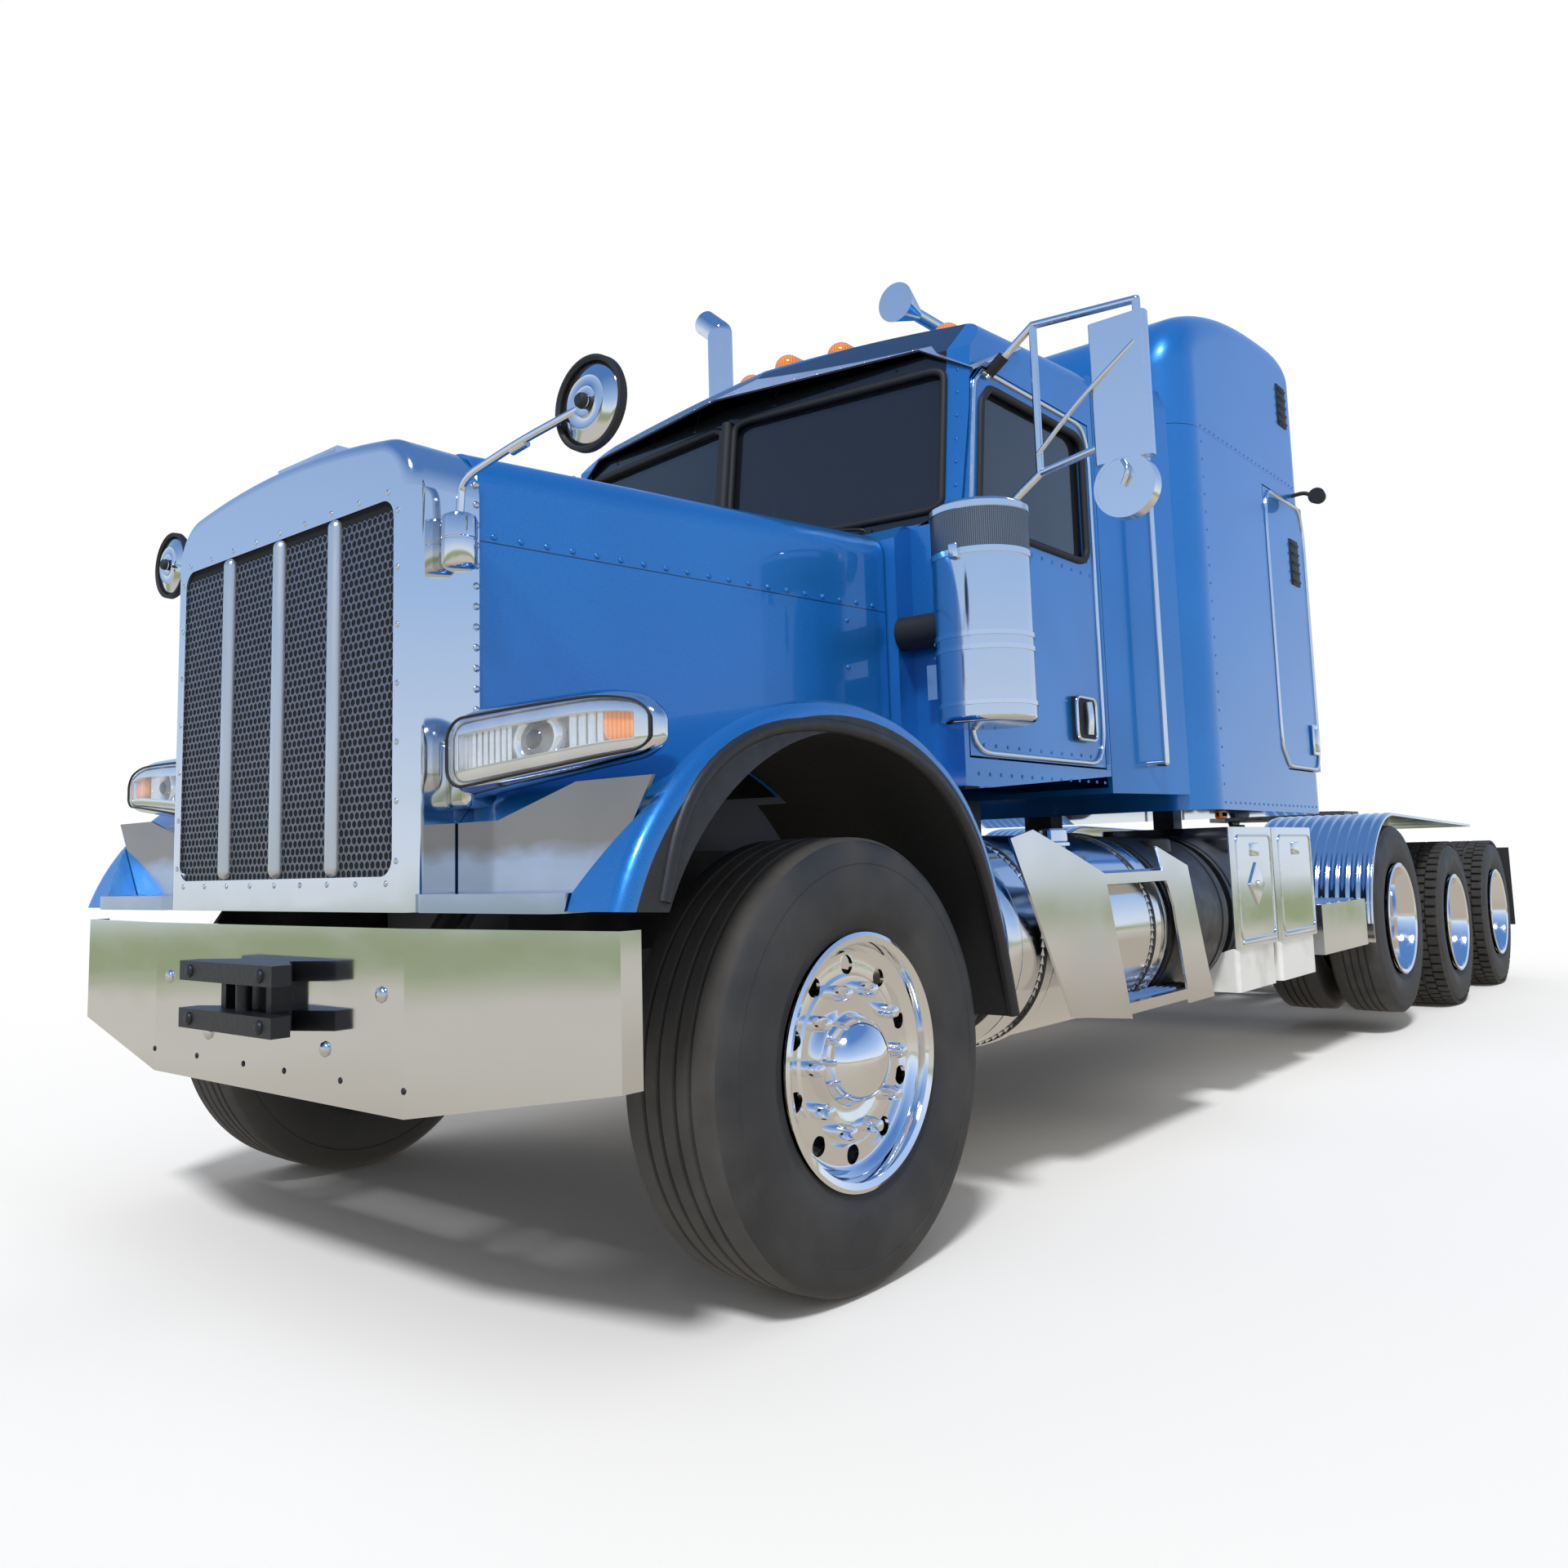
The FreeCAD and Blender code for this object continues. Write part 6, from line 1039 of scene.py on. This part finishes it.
# Door mirrors: tube frames with a flat head and a round wide-angle mirror; the heads' backs are bright,
# their glass looks to the rear and black rubber holds the frame at the door.
dress(["door_mirror_left", "door_mirror_right"], trim_steel, 40)
for side, word in sides:
    dress_faces(f"door_mirror_{word}", mirror_glass,
                lambda spot, normal: normal.y > 0.95 and abs(spot.x) > 1.335)
    body = f"door_{word}"

    def tube(radius, *places, rounding=0.35):
        """A bar through places that are given for the left side."""
        return rod([at(side * x, y, z) for x, y, z in places], radius, rounding)

    boots = [tube(0.021, (0.975, 1.16, 2.629), (1.035, 1.16, 2.671)),
             tube(0.021, (0.975, 1.104, 2.067), (1.015, 1.117, 2.103)),
             tube(0.018, (1.49, 1.16, 2.40), (1.49, 1.16, 2.46))]
    join(f"mirror_boots_{word}", boots, rubber_black, body, 60)
    strut = tube(0.008, (1.145, 1.148, 2.30), (1.30, 1.130, 2.43), (1.495, 1.142, 2.58), rounding=0.4)
    curl = tube(0.008, (1.436, 1.136, 2.21), (1.46, 1.120, 2.17), (1.436, 1.128, 2.13), rounding=0.5)
    rim = turned(hoop(0.090, 0.100, 0.024), 48, at(side * 1.436, 1.16, 2.130), "Y")
    join(f"mirror_frames_{word}", [strut, curl, rim], trim_steel, body, 60)

# Air cleaners: polished cans with a punched band under the lid, clamp bands, a black hose to the
# cowl and a bright bracket. The single exhaust is bright all the way up.
can_x, can_y = 1.135, 0.762
dress(["air_cleaners"], steel_polish, 40)


def off_can(spot):
    return sqrt((abs(spot.x) - can_x) ** 2 + (spot.y - AXLE_Y - can_y) ** 2) > 0.146


dress_faces("air_cleaners", rubber_black, lambda spot, _: off_can(spot) and spot.z > 1.60)
dress_faces("air_cleaners", trim_steel, lambda spot, _: off_can(spot) and spot.z <= 1.60)
punched_band = Finish("punched_band", (0.45, 0.46, 0.48), slot="aluminium", roughness=0.3, metallic=0.9)
dot_x = punched_band.uv(0).wrap(1 / 150) - 0.5
dot_z = punched_band.uv(1).wrap(1 / 32) - 0.5
dots = (dot_x * dot_x + dot_z * dot_z) < 0.085
punched_band.tint(dots, (0.50, 0.51, 0.53), (0.02, 0.02, 0.025))
punched_band.bump(dots, 0.002, 0.8)
choose()
bpy.ops.mesh.primitive_cylinder_add(vertices=64, radius=0.1458, depth=0.115, end_fill_type="NOTHING",
                                    location=at(can_x, can_y, 1.952))
band = worked(bpy.context.object, "SOLIDIFY", thickness=0.0006, offset=-1)
join("cleaner_bands", [band], punched_band, "chassis", 40, True)
clamps = [turned(hoop(0.143, 0.1490, half), 64, at(can_x, can_y, z), "Z") for z, half in (
    (2.020, 0.009), (1.884, 0.009), (1.640, 0.007), (1.600, 0.007), (1.440, 0.006))]
lid = turned([(0.0, 0.0), (0.0, 0.120), (-0.004, 0.128), (-0.004, 0.0)], 64, at(can_x, can_y, 2.0415), "Z")
latch = bar((0.030, 0.026, 0.045), at(can_x, can_y - 0.150, 1.884), 0.005)
join("cleaner_clamps", clamps + [lid, latch], trim_steel, "chassis", 35, True)

# Fuel tanks: polished drums held by straps on black rubber, with a filler cap; steps with serrated
# treads hang outside them. A dark ribbed cover follows behind.
tank_x, tank_z = 0.860, 0.745
tank_polish = Finish("tank_polish", (0.78, 0.79, 0.80), metallic=1.0)
rolled = tank_polish.noise(4, 3, (1, 0.2, 1))
tank_polish.set("Roughness", rolled.curve((0.35, 0.08), (0.7, 0.22)))
tank_polish.bump(rolled, 0.004, 0.2)
dress(["fuel_tanks"], tank_polish, 40)


def off_tank(spot, _):
    return sqrt((abs(spot.x) - tank_x) ** 2 + (spot.z - tank_z) ** 2) > 0.327 or abs(spot.x) < 0.52


dress_faces("fuel_tanks", rubber_black, off_tank)


def tank_band(inside, outside, half, y, steps=80):
    return turned(hoop(inside, outside, half), steps, at(tank_x, y, tank_z), "Y")


straps = [tank_band(0.330, 0.3345, 0.024, y) for y in (0.970, 1.775)]
seams = [tank_band(0.324, 0.3265, 0.003, y) for y in (0.812, 1.862)]
cap = turned([(0.048, 0), (0.048, 0.040), (0.042, 0.046), (0.006, 0.048), (0.0, 0.055), (-0.01, 0.055),
              (-0.01, 0)], 32, at(1.00, 1.40, 1.040), "Z")
join("tank_straps", straps + seams + [cap], trim_steel, "chassis", 35, True)
plate_satin = Finish("plate_satin", (0.74, 0.74, 0.75), slot="aluminium", metallic=1.0,
                     sheen=((3, 3), (0.3, 0.10), (0.7, 0.24)),
                     grain=((1.5, 1), 0.008, 0.25))
dress(["tank_steps", "step_boxes"], plate_satin, 35)


def serrated(name, x0, x1, y0, y1, z):
    """Rows of small teeth across a tread."""
    teeth = shape(bpy.ops.mesh.primitive_cone_add, vertices=4, radius1=0.0085, radius2=0.004, depth=0.006,
                  location=at(x0, y0, z + 0.003))
    repeated(teeth, int((x1 - x0) / 0.024), (0.024, 0, 0))
    repeated(teeth, int((y1 - y0) / 0.020), (0, 0.020, 0))
    join(name, [teeth], plate_satin, "chassis", 35, True)


serrated("upper_treads", 1.10, 1.205, 1.31, 2.01, 0.936)
serrated("lower_treads", 1.00, 1.205, 1.46, 2.14, 0.512)
serrated("box_treads", 0.70, 1.19, 3.66, 4.36, 0.735)
cover_black = Finish("cover_black", (0.020, 0.020, 0.022), slot="black_plastic",
                     sheen=((14, 4), (0.3, 0.3), (0.7, 0.5)),
                     grain=((300, 2), 0.0005))
dress(["side_covers"], cover_black, 40)
ribs = [tank_band(0.315, 0.3225, 0.012, y, 72) for y in (1.965, 2.45)]
cover_cap = turned([(0.030, 0), (0.030, 0.050), (0.024, 0.058), (-0.02, 0.060), (-0.02, 0)], 32,
                   at(1.02, 2.20, 1.020), "Z")
join("cover_ribs", ribs + [cover_cap], cover_black, "chassis", 40, True)

# Tool boxes: polished upper boxes with framed doors and latches over plain white lower ones; the
# first carries a diamond shaped cover.
dress(["tool_boxes"], steel_polish, 35)
white_paint = Finish("white_paint", (0.78, 0.78, 0.76), 0.35, grain=((60, 2), 0.0004))
grime = white_paint.noise(5, 5)
white_paint.tint(grime.curve((0.45, 0), (0.75, 1)), (0.80, 0.80, 0.78), (0.55, 0.53, 0.50))
dress_faces("tool_boxes", white_paint, lambda spot, _: spot.z < 0.609 and abs(spot.x) > 0.66)
box_parts = []
for y0, y1 in ((2.53, 3.01), (3.05, 3.56)):
    middle, margin = (y0 + y1) / 2, 0.035
    door = [at(1.2055, y, z) for y, z in ((y0 + margin, 0.645), (y1 - margin, 0.645), (y1 - margin, 1.057),
                                          (y0 + margin, 1.057))]
    box_parts.append(rod(door, 0.005, 0.08, closed=True))
    box_parts.append(bar((0.014, 0.075, 0.055), at(1.207, middle, 1.00), 0.005))
    box_parts.append(bar((0.014, (y1 - y0) * 0.8, 0.016), at(1.205, middle, 0.630), 0.005))
box_parts.append(bar((0.012, 0.125, 0.125), at(1.206, 2.77, 0.86), 0.003, (pi / 4, 0, 0)))
box_parts.append(turned([(0.016, 0), (0.016, 0.010), (0.006, 0.014), (0.0, 0.014), (0.0, 0)], 20,
                        at(1.205, 2.77, 0.86), "X"))
join("box_doors", box_parts, trim_steel, "chassis", 35, True)

# Rear fenders: corrugated bright sheet over the raised wheels that runs back as a long flat tail,
# with a rolled edge; plain black flaps and round red lamps close the truck behind.
dress(["quarter_fenders"], plate_satin, 35)
hub = at(0, 5.010, 0.604)
bend_r, tail_drop = 0.567, 0.052
waves, across_steps, arc_steps = 12, 96, 30
path = []
for i in range(arc_steps + 1):
    turn = pi - i * pi / 2 / arc_steps
    path.append((hub.y + cos(turn) * bend_r, hub.z + sin(turn) * bend_r, cos(turn), sin(turn)))
path.append((AXLE_Y + 7.07, hub.z + bend_r - tail_drop, 0.025, 1.0))
sheet = shape(bpy.ops.mesh.primitive_grid_add, x_subdivisions=across_steps, y_subdivisions=len(path) - 1,
              size=1)
for number, point in enumerate(sheet.data.vertices):
    row, column = divmod(number, across_steps + 1)
    y, z, out_y, out_z = path[row]
    share = column / across_steps
    rise = 0.0015 + 0.004 * (1 - cos(share * waves * tau))
    point.co = (0.603 + 0.616 * share, y + out_y * rise, z + out_z * rise)
worked(sheet, "SOLIDIFY", thickness=0.0014, offset=1)
edit()
bpy.ops.mesh.normals_make_consistent(inside=False)
leave()
join("fender_corrugation", [sheet], steel_polish, "chassis", 50, True)
bead = rod([(1.214, y, z) for y, z, _, _ in path], 0.008, 0.4, steps=2)
join("fender_beads", [bead], trim_steel, "chassis", 60, True)
flap_rubber = Finish("flap_rubber", (0.02, 0.02, 0.02), 0.7, grain=((150, 3), 0.0008))
dress(["mud_flaps"], flap_rubber)
red_lens = Finish("red_lens", (0.45, 0.01, 0.01), slot="flap_rubber", roughness=0.12, coat_weight=0.8)
red_lens.bump(red_lens.axis("X").wrap(0.01), 0.001, 0.5)
lamp_z, tail_y = 0.905, 8.260
lamp_bar = bar((0.76, 0.012, 0.14), at(0, tail_y + 0.004, lamp_z), 0.004)
join("rear_lamp_bar", [lamp_bar], chassis_paint, "chassis")
lamps = [(at(x, tail_y + 0.008, lamp_z), None, 1) for x in (-0.31, -0.19, 0.19, 0.31)]
dome_row("rear_lamps", lamps, 0.050, 0.016, (0, 1, 0), red_lens, "chassis")
